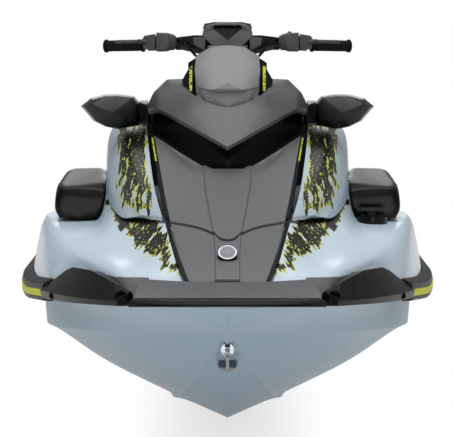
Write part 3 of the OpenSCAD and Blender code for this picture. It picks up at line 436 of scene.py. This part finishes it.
cover_plastic = finish("bow_cover_plastic", (84, 85, 88), 0.45, drift=0.04, patch=2, shine=0.35)
lip_black = finish("lip_black", (6, 6, 7), 0.45, patch=4, shine=0.1)
band = banded("bow_cover", "bow_band", cover_plastic, 0.190, 1.0, stands_for=["bow_cover"])
eased(band, 0.003, 18)
lip = banded("bow_cover", "bow_lip", lip_black, 0.1675, 0.1885)
eased(lip, 0.003, 25)


def face_of(source):
    """A solid's faces as a tree that finds where a line meets them."""
    bm = welded(source)
    tree = BVHTree.FromBMesh(bm)
    bm.free()
    return tree


ahead_of_bow = -3  # metres


def laid_on(source, name, material, corners, rise, columns, rows):
    """A thin skin that lies on a solid where lines drawn aft from a four-cornered frame
    meet it. corners gives x and height for the frame, going round from the lower inner."""
    bm = bmesh.new()
    bmesh.ops.create_grid(bm, x_segments=columns, y_segments=rows, size=0.5)
    under = face_of(source)
    missed = []
    for v in bm.verts:
        u, w = v.co.x + 0.5, v.co.y + 0.5
        a, b, c, d = (spot(x, half_length, z) for x, z in corners)
        aim = (a * (1 - u) + b * u) * (1 - w) + (d * (1 - u) + c * u) * w
        aim.y = ahead_of_bow
        where, facing, _, _ = under.ray_cast(aim, Vector((0, 1, 0)))
        if where:
            v.co = where + facing * rise
        else:
            missed.append(v)
    bmesh.ops.delete(bm, geom=missed, context="VERTS")
    bmesh.ops.recalc_face_normals(bm, faces=bm.faces)
    made = piece(bm, name, material, "craft", smooth=60)
    wall = made.modifiers.new("wall", "SOLIDIFY")
    wall.thickness = rise * 1.5
    wall.offset = -1
    return made


for side, sign in sides:
    corners = [(sign * x, z) for x, z in ((205, 424), (318, 424), (318, 470), (205, 470))]
    laid_on("deck", "bow_band_end_" + side, cover_plastic, corners, 0.004, 24, 14)

# ---- Corner bumpers ----
# A faceted block of black plastic covers each corner of the bow. A round socket with a
# raised rim sits near its inner end, and a smaller one further out takes the screw.

flat_enough = 1.5  # degrees


def turned(bm, profile, start, end, steps=32):
    """Adds a shape spun about the line from start to end. profile lists the distance
    along that line and the radius there, and is closed on the line at both ends."""
    line = (Vector(end) - Vector(start)).normalized()
    place = Matrix.Translation(start) @ line.to_track_quat("Z", "Y").to_matrix().to_4x4()
    standing = set(bm.verts)
    profile = [(profile[0][0], 0), *profile, (profile[-1][0], 0)]
    points = [bm.verts.new(place @ Vector((radius, 0, along))) for along, radius in profile]
    edges = [bm.edges.new(pair) for pair in zip(points, points[1:])]
    bmesh.ops.spin(bm, geom=points + edges, cent=start, axis=line, angle=math.tau, steps=steps,
                   use_merge=True)
    bmesh.ops.remove_doubles(bm, verts=[v for v in bm.verts if v not in standing], dist=1e-6)
    bmesh.ops.recalc_face_normals(bm, faces=bm.faces)


bumper_plastic = finish("bumper_plastic", (10, 10, 11), 0.4, drift=0.08, patch=4, grain=300, shine=0.14)
socket_black = finish("socket_black", (5, 5, 6), 0.6, patch=20, grain=500, shine=0.15, spread=0.06)
for side, sign in sides:
    bm = welded("corner_bumper_" + side)
    flattened(bm, flat_enough)
    cut_off(bm, spot(0, 110, 416), (0, 0.061, 1))
    block = piece(bm, "bumper_" + side, bumper_plastic, "craft", ["corner_bumper_" + side])
    eased(block, 0.006, 12, 4)
    face = face_of("corner_bumper_" + side)
    for kind, x, z, bore in (("socket", 275, 440, 0.0125), ("screw", 473, 400, 0.005)):
        hole, facing, _, _ = face.ray_cast(spot(sign * x, -1000, z), Vector((0, 1, 0)))
        facing = (facing + Vector((0, -0.8, 0))).normalized()
        bm = bmesh.new()
        turned(bm, [(-0.01, bore), (0.0015, bore), (0.003, bore + 0.0015), (0.003, bore + 0.0035),
                    (0, bore + 0.005), (-0.01, bore + 0.005)], hole, hole + facing)
        piece(bm, "bumper_" + kind + "_" + side, socket_black, "craft")

# ---- Nose ----
# A grey panel closes the bow ahead of the hood, edged by two black strips. A bare oval
# badge of polished metal is stuck to it.


def curve(table, s, column=1):
    """Smooth, never overshooting curve through a column of a table of stations."""
    last = len(table) - 1
    k = max([i for i in range(last) if table[i][0] <= s] or [0])
    slopes = [(b[column] - a[column]) / (b[0] - a[0]) for a, b in zip(table, table[1:])]

    def tangent(i):
        if i in (0, last):
            return slopes[0 if i == 0 else -1]
        a, b = slopes[i - 1], slopes[i]
        return 0 if a * b <= 0 else 2 * a * b / (a + b)

    h = table[k + 1][0] - table[k][0]
    u = max(0, min(1, (s - table[k][0]) / h))
    return (table[k][column] * (2 * u**3 - 3 * u * u + 1) + h * tangent(k) * (u**3 - 2 * u * u + u)
            + table[k + 1][column] * (3 * u * u - 2 * u**3) + h * tangent(k + 1) * (u**3 - u * u))


def ramp(value, start, end):
    """0 before start, 1 past end, smooth between."""
    share = max(0.0, min(1.0, (value - start) / (end - start)))
    return share * share * (3 - 2 * share)


def patch(name, point, rows, columns, thickness, material, slot, body, stands_for=(), *, width=0.0015):
    """A moulded sheet: point gives its outer face for u and v from 0 to 1, u from starboard."""
    bm = bmesh.new()
    bmesh.ops.create_grid(bm, x_segments=columns, y_segments=rows, size=0.5)
    for v in bm.verts:
        v.co = point(v.co.x + 0.5, v.co.y + 0.5)
    made = piece(bm, name, material, body, stands_for, smooth=40)
    sheet = made.modifiers.new("thickness", "SOLIDIFY")
    sheet.thickness = thickness
    sheet.offset = -1
    return eased(made, width, 50, 2)


cowl_centre = [[200, 472], [350, 521], [480, 560], [650, 617], [955, 720], [1170, 800]]
cowl_edge = [[200, 463], [480, 548], [650, 600], [955, 722], [1170, 811]]
cowl_half = [[200, 96], [230, 104], [650, 161], [1170, 216]]
split_line = [[0, 480], [0.12, 488], [0.3, 545], [1, 650]]
hood_rear = [[0, 958], [0.22, 958], [0.26, 965], [0.98, 1164], [1, 1170]]


def cowl(y, t, inset=0, dent=0):
    """The cowl's face at station y, t from -1 at starboard to 1 at port. A step on each
    side, wide under the recess and narrow at the nose, leaves the middle raised."""
    half = curve(cowl_half, y)
    t *= 1 - inset / half
    step = 31 + 31 * ramp(y, 360, 960)
    wide = 2.5 + 8.5 * ramp(y, 380, 960)
    sunk = 5.2 * ramp(abs(t) * half, step, step + 0.7 * wide)
    middle, edge = curve(cowl_centre, y), curve(cowl_edge, y)
    return spot(t * half, y, middle + (edge - middle) * t * t - sunk - dent)


nose_foot = 212
nose_gap = 19


def nose_face(u, v):
    t = 2 * u - 1
    length = curve(split_line, abs(t)) - nose_gap - nose_foot
    return cowl(nose_foot + length * v, t, 4.3, -0.5)


hood_plastic = finish("hood_plastic", (98, 99, 101), 0.4, drift=0.03, patch=2, shine=0.4)
gloss_black = finish("gloss_black", (5, 5, 6), 0.36, shine=0.1)
polished = finish("polished_metal", (196, 198, 201), 0.34, drift=0.03, patch=12, grain=600, metal=0.7,
                  spread=0.04)
patch("nose_cover", nose_face, 60, 120, 0.011, hood_plastic, "hood_grey", "craft", ["nose_panel"])
bm = welded("nose_trim")
eased(piece(bm, "nose_strips", gloss_black, "craft", ["nose_trim"]), 0.002, 40, 2)

low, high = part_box("badge")
middle = (low + high) / 2 + Vector((0, -0.003, 0.0095))
facing = Vector((0, -0.66, 0.75)).normalized()
bm = bmesh.new()
turned(bm, [(-0.03, 0.027), (0.002, 0.0265), (0.0032, 0.0255)], middle, middle + facing, 64)
piece(bm, "badge_seat", gloss_black, "craft")
bm = bmesh.new()
turned(bm, [(0.0028, 0.0252), (0.0048, 0.0252), (0.0058, 0.0244), (0.0058, 0.0222), (0.0042, 0.0214)],
       middle, middle + facing, 64)
piece(bm, "nose_badge", polished, "craft", ["badge"], smooth=30)
satin = finish("satin_metal", (128, 129, 132), 0.5, drift=0.05, patch=30, grain=900, depth=0.00002,
               metal=0.4, spread=0.04)
bm = bmesh.new()
turned(bm, [(0.004, 0.0205), (0.0052, 0.0195), (0.0054, 0.0150), (0.0048, 0.0145), (0.0048, 0.0125),
            (0.0056, 0.0118), (0.0062, 0.0006)], middle, middle + facing, 64)
piece(bm, "badge_field", satin, "craft")

# ---- Hood ----
# The hood is one hinged assembly: a grey panel in front, a pale side panel to each
# side with the same film as the deck, and a black recess under the brow, all moulded.


def hood_face(u, v):
    t = 2 * u - 1
    rear = curve(hood_rear, abs(t))
    y = curve(split_line, abs(t)) * (1 - v) + rear * v
    shape = math.exp(-((abs(t) - 0.6) / 0.14) ** 2)
    dent = 6 * shape * ramp(rear - y, 7, 14) * (1 - ramp(rear - y, 14, 85))
    return cowl(y, t, 5.3, dent - 0.4)


def side_film(tree, x, y, z):
    """The film on the side panels runs up between two lines that lean outwards."""
    inner = maths(tree, "SUBTRACT", x, maths(tree, "MULTIPLY_ADD", z, 0.088, 0.1735))
    outer = maths(tree, "SUBTRACT", maths(tree, "MULTIPLY_ADD", z, 0.1145, 0.2635), x)
    foot = maths(tree, "SUBTRACT", z, 0.345)
    return least(tree, least(tree, inner, outer), foot)


def marked(material, inside, scale):
    """Lays a row of abstract yellow blocks over a finish where inside is above 0."""
    tree = material.node_tree
    band = maths(tree, "MULTIPLY", inside(tree, *place_of(tree)), 3000.0, clamp=True)
    blocks = over(tree, clouds(tree, on_piece(tree), 1.0, 1.0, scale), 0.43, 50.0)
    overlaid(material, maths(tree, "MULTIPLY", band, blocks), (208, 212, 60))


def beside(tree, value, line, reach):
    """How far within its reach of a line a value lies."""
    return maths(tree, "SUBTRACT", reach, maths(tree, "ABSOLUTE", maths(tree, "SUBTRACT", value, line)))


def strip_marks(tree, x, y, z):
    """A narrow band along the middle of each hood strip, over its rear half."""
    line = maths(tree, "MULTIPLY_ADD", y, 0.094, 0.2650)
    along = least(tree, maths(tree, "ADD", y, 0.675), maths(tree, "SUBTRACT", -0.53, y))
    return least(tree, beside(tree, x, line, 0.0026), along)


patch("hood_cover", hood_face, 90, 160, 0.011, hood_plastic, "hood_grey", "hood", ["hood_panel"])
side_gelcoat = finish("side_gelcoat", (174, 190, 203), 0.28, drift=0.02, patch=1.4, grain=60, coat=0.2,
                      shine=0.4)
streaked(side_gelcoat, side_film, 4)
for side, _ in sides:
    faired("hood_side_" + side, side_gelcoat, "hood", soft=18, hard=60, edge=0.003)
recess_black = finish("recess_black", (6, 6, 7), 0.4, shine=0.1)
marked(recess_black, strip_marks, (60, 260, 60))
faired("hood_recess", recess_black, "hood", soft=12, hard=45, edge=0.0015)

# ---- Brow ----
# A grey visor over the recess carries the mirrors. Towards its ends it is painted dark, a painted
# reflection and shade where it wraps round. Its black inner plates rise to the instrument shield
# and bear a row of yellow blocks.


def plain(name, material, body="craft", *, width=0.003, angle=30, segments=3):
    """A machined or moulded solid with its flat faces whole and its edges eased."""
    bm = welded(name)
    flattened(bm, flat_enough)
    return eased(piece(bm, name + "_part", material, body, [name]), width, angle, segments)


def wing_marks(tree, x, y, z):
    """A band just outside the plate's inner edge."""
    along = least(tree, maths(tree, "SUBTRACT", z, 0.672), maths(tree, "SUBTRACT", 0.742, z))
    return least(tree, beside(tree, x, 0.1058, 0.0042), along)


brow_plastic = finish("brow_plastic", (83, 84, 86), 0.4, drift=0.03, patch=2, shine=0.4)
tree = brow_plastic.node_tree
# The outer ends are painted near black: painted shade and reflection where the visor turns away.
overlaid(brow_plastic, eased_ramp(tree, place_of(tree)[0], 0.19, 0.222), (20, 20, 21))
faired("brow", brow_plastic, "hood", soft=8, hard=40, levels=3, edge=0.0025)
wing_black = finish("wing_black", (10, 10, 11), 0.42, grain=500, shine=0.2)
marked(wing_black, wing_marks, (90, 60, 300))
plain("hood_wings", wing_black, "hood", width=0.0015, angle=20)

# ---- Mirrors ----
# Each mirror is a faceted black shell on a short arm from the brow, with silvered
# glass let into its rear face.


def faceted(name, sign, points, material, body, width, angle, segments=3, flat=0):
    """The block that spans a set of points, on the side that sign gives. Faces that lie
    flat to within an angle are joined."""
    bm = bmesh.new()
    for x, y, z in points:
        bm.verts.new(spot(sign * x, y, z))
    bmesh.ops.convex_hull(bm, input=bm.verts)
    if flat:
        flattened(bm, flat)
    return eased(piece(bm, name, material, body), width, angle, segments)


mirror_black = finish("mirror_black", (5, 5, 6), 0.32, drift=0.08, patch=4, shine=0.3)
for side, _ in sides:
    plain("mirror_" + side, mirror_black, "hood", width=0.004, angle=10, segments=4)
mirror_root = ((228, 1085, 896), (228, 1190, 906), (226, 1060, 836), (224, 1196, 828),
               (252, 1132, 902), (252, 1190, 906), (254, 1120, 838), (254, 1192, 834))
for side, sign in sides:
    faceted("mirror_root_" + side, sign, mirror_root, mirror_black, "hood", 0.004, 15)
silvered = finish("silvered_glass", (200, 206, 210), 0.06, drift=0.02, patch=4, grain=200,
                  depth=0.000005, metal=1.0, spread=0.03)
plain("mirror_glasses", silvered, "hood", width=0.0008, angle=20)

# ---- Instrument shield ----
# A light-grey shield of moulded plastic stands over the instruments, with a small triangular facet
# at its foot. Its base is painted the same grey, lighter than the hood's, as painted light against
# the shade it stands in. The display faces the rider behind it.


def shield_face(u, v, proud=0.0):
    t = 2 * u - 1
    middle = [[0, 1118, 936], [0.3, 1152, 965], [0.55, 1192, 997], [0.85, 1256, 1040], [1, 1292, 1061.5]]
    side = [[0, 1178, 943, 88], [0.3, 1196, 966, 92], [0.55, 1222, 990, 95.5], [0.85, 1256, 1012, 94],
            [1, 1272, 1019, 90]]
    bow = abs(t) ** 2.6
    y = curve(middle, v) + (curve(side, v) - curve(middle, v)) * bow
    z = curve(middle, v, 2) + (curve(side, v, 2) - curve(middle, v, 2)) * bow
    return spot(curve(side, v, 3) * t, y - 2 * proud, z + proud)


def foot_face(u, v):
    """A facet over the foot of the shield: a low triangle with its point upwards."""
    half = 0.21 * (1 - v)
    return shield_face(0.5 + half * (2 * u - 1), 0.015 + 0.2 * v, 1.4)


def return_face(sign, u, v):
    """A black flange behind the edge of the shield, which closes the gap to the hood."""
    low = spot(sign * 84, 1262, 915)
    high = spot(sign * 84, 1300, 1030)
    return low + (high - low) * v + Vector((sign * 0.03 * u, 0.004 * u, -0.02 * u * v))


shield_plastic = finish("shield_plastic", (127, 128, 130), 0.45, drift=0.02, patch=2, shine=0.35)
# The base is painted lighter than the hood's grey: painted light for the shade under the shield.
base_painted_lighter = finish("base_painted_lighter", (128, 129, 131), 0.45, drift=0.03, patch=2, shine=0.3)
plain("binnacle", base_painted_lighter, width=0.006, angle=8, segments=4)
patch("shield", shield_face, 24, 40, 0.005, shield_plastic, "cover_grey", "craft", width=0.002)
for side, sign in sides:
    bm = bmesh.new()
    bmesh.ops.create_grid(bm, x_segments=4, y_segments=12, size=0.5)
    for v in bm.verts:
        v.co = return_face(sign, v.co.x + 0.5, v.co.y + 0.5)
    bmesh.ops.solidify(bm, geom=bm.faces[:], thickness=0.003)
    bmesh.ops.recalc_face_normals(bm, faces=bm.faces)
    piece(bm, "shield_return_" + side, gloss_black, "craft")
patch("shield_foot", foot_face, 8, 12, 0.0012, hood_plastic, "hood_grey", "craft", width=0.0004)
screen = finish("screen_glass", (10, 11, 14), 0.12, patch=30, grain=300, depth=0.000004, coat=0.6,
                spread=0.06)
plain("display", screen, width=0.002, angle=20)

# ---- Console ----
# The console is a dark moulding that carries the steering column, with a lidded glove
# box in its top. The lid turns on a pin at its front edge.

console_plastic = finish("console_plastic", (44, 45, 48), 0.48, drift=0.07, grain=700, depth=0.00006,
                         shine=0.4, spread=0.06)
lid_plastic = finish("lid_plastic", (58, 59, 62), 0.46, drift=0.06, patch=7, grain=800, depth=0.00006,
                     shine=0.4, spread=0.06)
plain("console", console_plastic, width=0.006, angle=25)
plain("glove_box_lid", lid_plastic, "glove_box_lid", angle=20)

# ---- Handlebar ----
# A bent tube runs from the clamp on the steering column out to the grips. A pad covers the
# clamp: a black body under a grey cap, with a grey chevron in front and feet below. A
# black cover with a grey cheek lies over the tube on each side.


def plate(outline, steps):
    """A flat outline drawn out aft in steps. Each gives how far aft and down it goes
    and how wide the outline then is."""
    bm = bmesh.new()
    face = bm.faces.new([bm.verts.new(p) for p in outline])
    for aft, down, wide in steps:
        drawn = bmesh.ops.extrude_face_region(bm, geom=[face])["geom"]
        face = [g for g in drawn if isinstance(g, bmesh.types.BMFace)][0]
        bmesh.ops.translate(bm, verts=face.verts, vec=(0, aft / 1000, -down / 1000))
        bmesh.ops.scale(bm, verts=face.verts, vec=(wide, 1, 1))
    bmesh.ops.recalc_face_normals(bm, faces=bm.faces)
    return bm


tube_black = finish("tube_black", (24, 25, 27), 0.4, drift=0.08, patch=9, grain=700, depth=0.00003,
                    metal=0.2, spread=0.06)
plain("handlebar", tube_black, "steering_bars", width=0.001, angle=50, segments=2)
pad_black = finish("pad_black", (11, 11, 12), 0.5, patch=6, grain=500, depth=0.00002, shine=0.25,
                   spread=0.03)
pad_grey = finish("pad_grey", (84, 85, 87), 0.45, drift=0.04, patch=4, grain=500, depth=0.00002,
                  shine=0.35, spread=0.03)
plain("bar_pad", pad_black, "steering_bars", width=0.006, angle=20)
arch = [(-71, 1100), (-66, 1112), (-53, 1120), (-30, 1125.5), (0, 1127), (30, 1125.5), (53, 1120),
        (66, 1112), (71, 1100), (47, 1108), (37, 1118.5), (0, 1119.5), (-37, 1118.5), (-47, 1108)]
cap = plate([spot(x * 0.97, 1396, z - 3) for x, z in arch],
            [(6, -2.7, 1.03), (28, 0.3, 1), (28, 7, 0.9), (4, 2, 0.96)])
eased(piece(cap, "pad_cap", pad_grey, "steering_bars"), 0.003, 30)
arm = [(72, 1103), (41, 1107), (0, 1073), (0, 1046), (32, 1046), (74, 1088)]
for side, sign in sides:
    outline = [spot(sign * x, 1379 + (z - 1050) * 0.3 + abs(x) * 0.05, z) for x, z in arm]
    bm = plate(outline, [(14, 0, 1)])
    eased(piece(bm, "pad_chevron_" + side, pad_grey, "steering_bars"), 0.0015, 30)

cover_stations = ((58, 1412, 1036, 1088, 15), (98, 1436, 1048, 1088, 14), (146, 1462, 1062, 1082, 8))
bar_cover = [(x, y + aft, z) for x, y, low, high, deep in cover_stations
             for z in (low, high) for aft in (-deep, deep)]
pad_foot = [(x, y, z) for x in (30, 76) for y, low, high in ((1402, 1040, 1086), (1448, 1040, 1090))
            for z in (low, high)]
bar_cheek = [(x, y + aft, z) for aft in (0, 10)
             for x, y, z in ((64, 1392, 1084), (102, 1414, 1082), (98, 1412, 1060), (66, 1392, 1044))]
for side, sign in sides:
    for part, points, material, slot, width in (
        ("bar_cover_", bar_cover, pad_black, "trim_black", 0.004),
        ("pad_foot_", pad_foot, pad_black, "trim_black", 0.005),
        ("bar_cheek_", bar_cheek, pad_grey, "cover_grey", 0.002),
    ):
        faceted(part + side, sign, points, material, "steering_bars", width, 20)

# ---- Grips and controls ----
# Ribbed rubber grips have a flange at each end. Inboard of each is a two-part switch
# housing with a lever in front. The port housing has a round button on top, and a hose
# runs down beside the pad.


def bar_line(x):
    """The middle of the straight part of the bar at this distance from the centreline."""
    share = (abs(x) - 40) / 324
    return spot(x, 1428 + 132 * share, 1062 - 8 * share)


rubber = finish("grip_rubber", (8, 8, 9), 0.6, drift=0.12, patch=14, grain=1200, depth=0.0001,
                shine=0.15, spread=0.06)
housing_plastic = finish("housing_plastic", (72, 73, 75), 0.42, drift=0.05, patch=6, grain=500,
                         shine=0.35)
ribs = 20
valley, crest, flange = 0.0158, 0.0167, 0.0195
bm = bmesh.new()
for _, sign in sides:
    start, end = bar_line(sign * 248), bar_line(sign * 363.5)
    length = (end - start).length
    profile = [(0, 0.0135), (0, flange), (0.004, flange), (0.005, 0.0165)]
    for k in range(ribs):
        along = 0.007 + k * (length - 0.016) / ribs
        profile += [(along + step, radius) for step, radius in
                    ((0, valley), (0.0012, crest), (0.0032, crest), (0.0044, valley))]
    profile += [(length - 0.007, 0.0165), (length - 0.006, flange), (length - 0.001, flange),
                (length, 0.0185), (length, 0)]
    turned(bm, profile, start, end, 36)
piece(bm, "ribbed_grips", rubber, "steering_bars", ["grips"], smooth=50)
plain("switch_housings", housing_plastic, "steering_bars", width=0.004, angle=15,
      segments=4)
control_body = ((150, 1452, 1054, 1084), (176, 1440, 1040, 1095), (210, 1446, 1039, 1096),
                (210, 1532, 1042, 1092), (176, 1518, 1042, 1094), (152, 1500, 1054, 1086))
control_clamp = ((213, 1452, 1044, 1092), (246, 1466, 1046, 1086), (250, 1482, 1052, 1080),
                 (250, 1530, 1050, 1078), (213, 1530, 1044, 1088))
for side, sign in sides:
    for part, corners in (("body_", control_body), ("clamp_", control_clamp)):
        points = [(x, y - ahead, z) for x, y, low, high in corners
                  for z, ahead in ((low, 0), ((low + high) / 2, 5), (high, 0))]
        faceted("control_" + part + side, sign, points, housing_plastic, "steering_bars",
                0.006, 12, 4, flat=2)
faired("steering_hoses", rubber, "steering_bars", soft=60, hard=90, levels=1, edge=0)
bm = bmesh.new()
turned(bm, [(-0.006, 0), (-0.006, 0.006), (0.003, 0.006), (0.0045, 0.0045), (0.005, 0)],
       spot(183, 1478, 1094), spot(183, 1472, 1124), 24)
piece(bm, "start_button", housing_plastic, "steering_bars")

# ---- Speaker pods ----
# A black moulded pod stands on each side deck with its loudspeaker facing the rider.


def remeshed(bm, voxel):
    """A working object whose mesh follows a bmesh on an even grid."""
    made = in_scene(bm, "working")
    even = made.modifiers.new("even", "REMESH")
    even.mode = "VOXEL"
    even.voxel_size = voxel
    graph = bpy.context.evaluated_depsgraph_get()
    made.data = bpy.data.meshes.new_from_object(made.evaluated_get(graph))
    made.modifiers.clear()
    return made


def rounded(source, voxel, passes):
    """A solid's skin remeshed evenly and worn round, apart from its foot on the deck."""
    raw = remeshed(welded(source), voxel)
    bm = bmesh.new()
    bm.from_mesh(raw.data)
    bpy.data.objects.remove(raw)
    under = face_of("deck")
    free = [v for v in bm.verts if under.find_nearest(v.co)[3] > 2 * voxel]
    for _ in range(passes):
        bmesh.ops.smooth_vert(bm, verts=free, factor=0.5, use_axis_x=True, use_axis_y=True,
                              use_axis_z=True)
    return bm


pod_black = finish("pod_black", (7, 8, 9), 0.3, drift=0.05, patch=3, shine=0.16)
grille_black = finish("grille_black", (30, 31, 33), 0.5, patch=10, grain=1500, depth=0.0003,
                      spread=0.06)
for side, sign in sides:
    bm = rounded("speaker_pod_" + side, 0.006, 14)
    piece(bm, "pod_" + side, pod_black, "craft", ["speaker_pod_" + side], smooth=60)
    bm = bmesh.new()
    centre = spot(sign * 428, 1424, 632)
    turned(bm, [(0, 0), (0, 0.052), (0.004, 0.052), (0.0055, 0.049), (0.0045, 0.045), (0.0035, 0.02),
                (0.0045, 0)], centre, centre + Vector((0, 1, 0)), 48)
    piece(bm, "speaker_" + side, grille_black, "craft")

# ---- Fuel cap ----
# A screw cap with a bar grip closes the filler on the port side deck.

plain("fuel_cap", pod_black, angle=25)

# ---- Seats ----
# Two foam seats under stretched marine vinyl lift off the deck. A sewn seam with a raised
# piping runs along each side, and cross channels cut the top.


def swollen(bm, voxel, pressure, most):
    """Cloth over foam: the form is remeshed, puffed a little and its movement capped."""
    foam = remeshed(bm, voxel)
    before = [v.co.copy() for v in foam.data.vertices]
    cloth = foam.modifiers.new("cover", "CLOTH")
    cloth.settings.use_pressure = True
    cloth.settings.uniform_pressure_force = pressure
    cloth.settings.effector_weights.gravity = 0
    cloth.settings.quality = 4
    for frame_number in range(1, 21):
        scene.frame_set(frame_number)
    graph = bpy.context.evaluated_depsgraph_get()
    after = [v.co.copy() for v in foam.evaluated_get(graph).data.vertices]
    floor_z = min(p.z for p in before)
    made = bmesh.new()
    made.from_mesh(foam.data)
    made.verts.ensure_lookup_table()
    for v, old, new in zip(made.verts, before, after):
        move = new - old
        if move.length > most:
            move *= most / move.length
        v.co = old + move
        v.co.z = max(v.co.z, floor_z)
    bpy.data.objects.remove(foam)
    scene.frame_set(1)
    return made


seam_height = 0.495
seam_pull = 0.004
piping_radius = 0.0032
channel_step = 90  # mm
channel_width = 8  # mm
channel_depth = 0.007


def sewn(bm, low, high, front, rear):
    """Presses the cross channels into a cushion's top and draws its sides in at the seam."""
    lines = range(front + 120, rear - 60, channel_step)
    for v in bm.verts:
        y = v.co.y * 1000 + half_length
        share = (v.co.z - low.z) / (high.z - low.z)
        channel = max(math.exp(-((y - line) / channel_width) ** 2) for line in lines)
        v.co.z -= channel_depth * channel * ramp(share, 0.7, 0.86)
        pinch = math.exp(-((v.co.z - seam_height) / 0.007) ** 2)
        v.co.x -= math.copysign(seam_pull, v.co.x) * pinch * ramp(abs(v.co.x), 0.09, 0.13)


def piping(bm, centre):
    """A raised cord round a cushion at its seam."""
    around = bm.copy()
    cut = bmesh.ops.bisect_plane(around, geom=around.verts[:] + around.edges[:] + around.faces[:],
                                 dist=1e-6, plane_co=(0, 0, seam_height), plane_no=(0, 0, 1))
    loop = [g.co.copy() for g in cut["geom_cut"] if isinstance(g, bmesh.types.BMVert)]
    around.free()
    loop.sort(key=lambda p: math.atan2(p.x / 0.17, (p.y - centre.y) / 0.34))
    points = loop[::max(1, len(loop) // 160)]
    cord = bpy.data.curves.new("piping_line", "CURVE")
    cord.dimensions = "3D"
    cord.bevel_depth = piping_radius
    cord.bevel_resolution = 2
    line = cord.splines.new("POLY")
    line.use_cyclic_u = True
    line.points.add(len(points) - 1)
    for point, place in zip(line.points, points):
        point.co = (*place, 1)
    trial = bpy.data.objects.new("trial", cord)
    scene.collection.objects.link(trial)
    graph = bpy.context.evaluated_depsgraph_get()
    made = bmesh.new()
    made.from_mesh(bpy.data.meshes.new_from_object(trial.evaluated_get(graph)))
    bpy.data.objects.remove(trial)
    return made


def stitched(name, colour):
    """Soft vinyl with a pebbled grain."""
    return finish(name, colour, 0.5, patch=6, grain=650, depth=0.00012, shine=0.35, spread=0.08,
                  sheen=0.1)


vinyl = stitched("seat_vinyl", (36, 37, 40))
tree = vinyl.node_tree
overlaid(vinyl, over(tree, place_of(tree)[2], 0.497, 900.0), (58, 59, 63))
piping_vinyl = stitched("piping_vinyl", (128, 130, 135))
for name, front, rear in (("seat_front", 1504, 2199), ("seat_rear", 2200, 2874)):
    bm = welded(name)
    low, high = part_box(name)
    centre = (low + high) / 2
    shrink = Matrix.Diagonal((0.965, 0.99, 0.965, 1))
    bmesh.ops.transform(bm, matrix=Matrix.Translation(centre) @ shrink @ Matrix.Translation(-centre),
                        verts=bm.verts)
    drop = low.z + 0.0005 - min(v.co.z for v in bm.verts)
    bmesh.ops.translate(bm, verts=bm.verts, vec=(0, 0, drop))
    bm = swollen(bm, voxel=0.008, pressure=4, most=0.012)
    sewn(bm, low, high, front, rear)
    piece(piping(bm, centre), name + "_piping", piping_vinyl, "craft", smooth=60)
    cushion = piece(bm, name + "_cushion", vinyl, "craft", [name], smooth=80)
    surface = cushion.modifiers.new("surface", "SUBSURF")
    surface.levels = surface.render_levels = 1

# ---- Grab handle ----
# A bent black tube behind the seat, bolted to the deck through two feet.

plain("grab_handle", tube_black)

# ---- Deck mats ----
# Grooved foam mats are glued into the footwells and on the boarding platform.

mat_foam = finish("mat_foam", (62, 64, 68), 0.85, drift=0.12, patch=12, grain=900, depth=0.0003,
                  shine=0.2, spread=0.06)
tree = mat_foam.node_tree
wave = node(tree, "ShaderNodeTexWave", {"bands_direction": "X"}, Vector=on_piece(tree), Scale=14)
grooves = node(tree, "ShaderNodeBump", Height=wave.outputs["Fac"], Distance=0.002, Strength=0.8)
tree.links.new(grooves.outputs[0], tree.nodes["Principled BSDF"].inputs["Normal"])
for name in ("footwell_mats", "platform_mat"):
    plain(name, mat_foam, width=0.0025, angle=40)

# ---- Bow eye and stern eyes ----
# Polished steel eyes for towing and tying down, bolted through the hull.

chrome = finish("chrome", (112, 114, 118), 0.2, drift=0.02, patch=10, grain=500, depth=0.000008,
                metal=1.0, spread=0.03)
plain("bow_eye", chrome, width=0.002)
plain("stern_eyes", chrome, width=0.0015)

# ---- Hull fittings ----
# Black sponsons on the aft chines, the ride plate under the pump and the intake grate.

fitting_black = finish("fitting_black", (36, 37, 39), 0.5, drift=0.08, patch=6, grain=700,
                       depth=0.00008, spread=0.06)
cast_metal = finish("cast_metal", (92, 94, 98), 0.46, drift=0.08, patch=9, grain=500, depth=0.00008,
                    metal=0.6, spread=0.06)
plain("sponsons", fitting_black, width=0.006, angle=15)
plain("ride_plate", cast_metal)
plain("intake_grate", cast_metal)

# ---- Jet pump ----
# A cast housing holds a three-bladed steel impeller. The nozzle turns with the handlebar
# and the bucket drops over it for reverse.

blade_steel = finish("blade_steel", (168, 170, 174), 0.3, drift=0.05, patch=12, grain=500,
                     depth=0.00003, metal=1.0, spread=0.06)
plain("pump_housing", cast_metal, angle=35)
plain("steering_nozzle", cast_metal, "steering_nozzle", width=0.002, angle=35)
plain("reverse_bucket", fitting_black, "reverse_bucket", width=0.002, angle=35)
plain("impeller", blade_steel, "impeller", width=0.0015, angle=35)

# ---- Boarding step ----
# A folding bail hangs on two brackets on the transom, so that a swimmer can climb aboard.

plain("boarding_step", tube_black, "boarding_step")
plain("step_hinges", fitting_black, width=0.0015)

# ---- Engine ----
# The engine lies under the front seat. One plain cast block stands for the whole of it.

block_iron = finish("block_iron", (70, 72, 76), 0.6, drift=0.12, patch=8, depth=0.0002, metal=0.3,
                    spread=0.06)
plain("engine_block", block_iron, width=0.012, segments=4)

# ---- Storage bin ----
# A thin-walled black tub for luggage hangs in the bow under the hood.

plain("storage_bin", console_plastic)
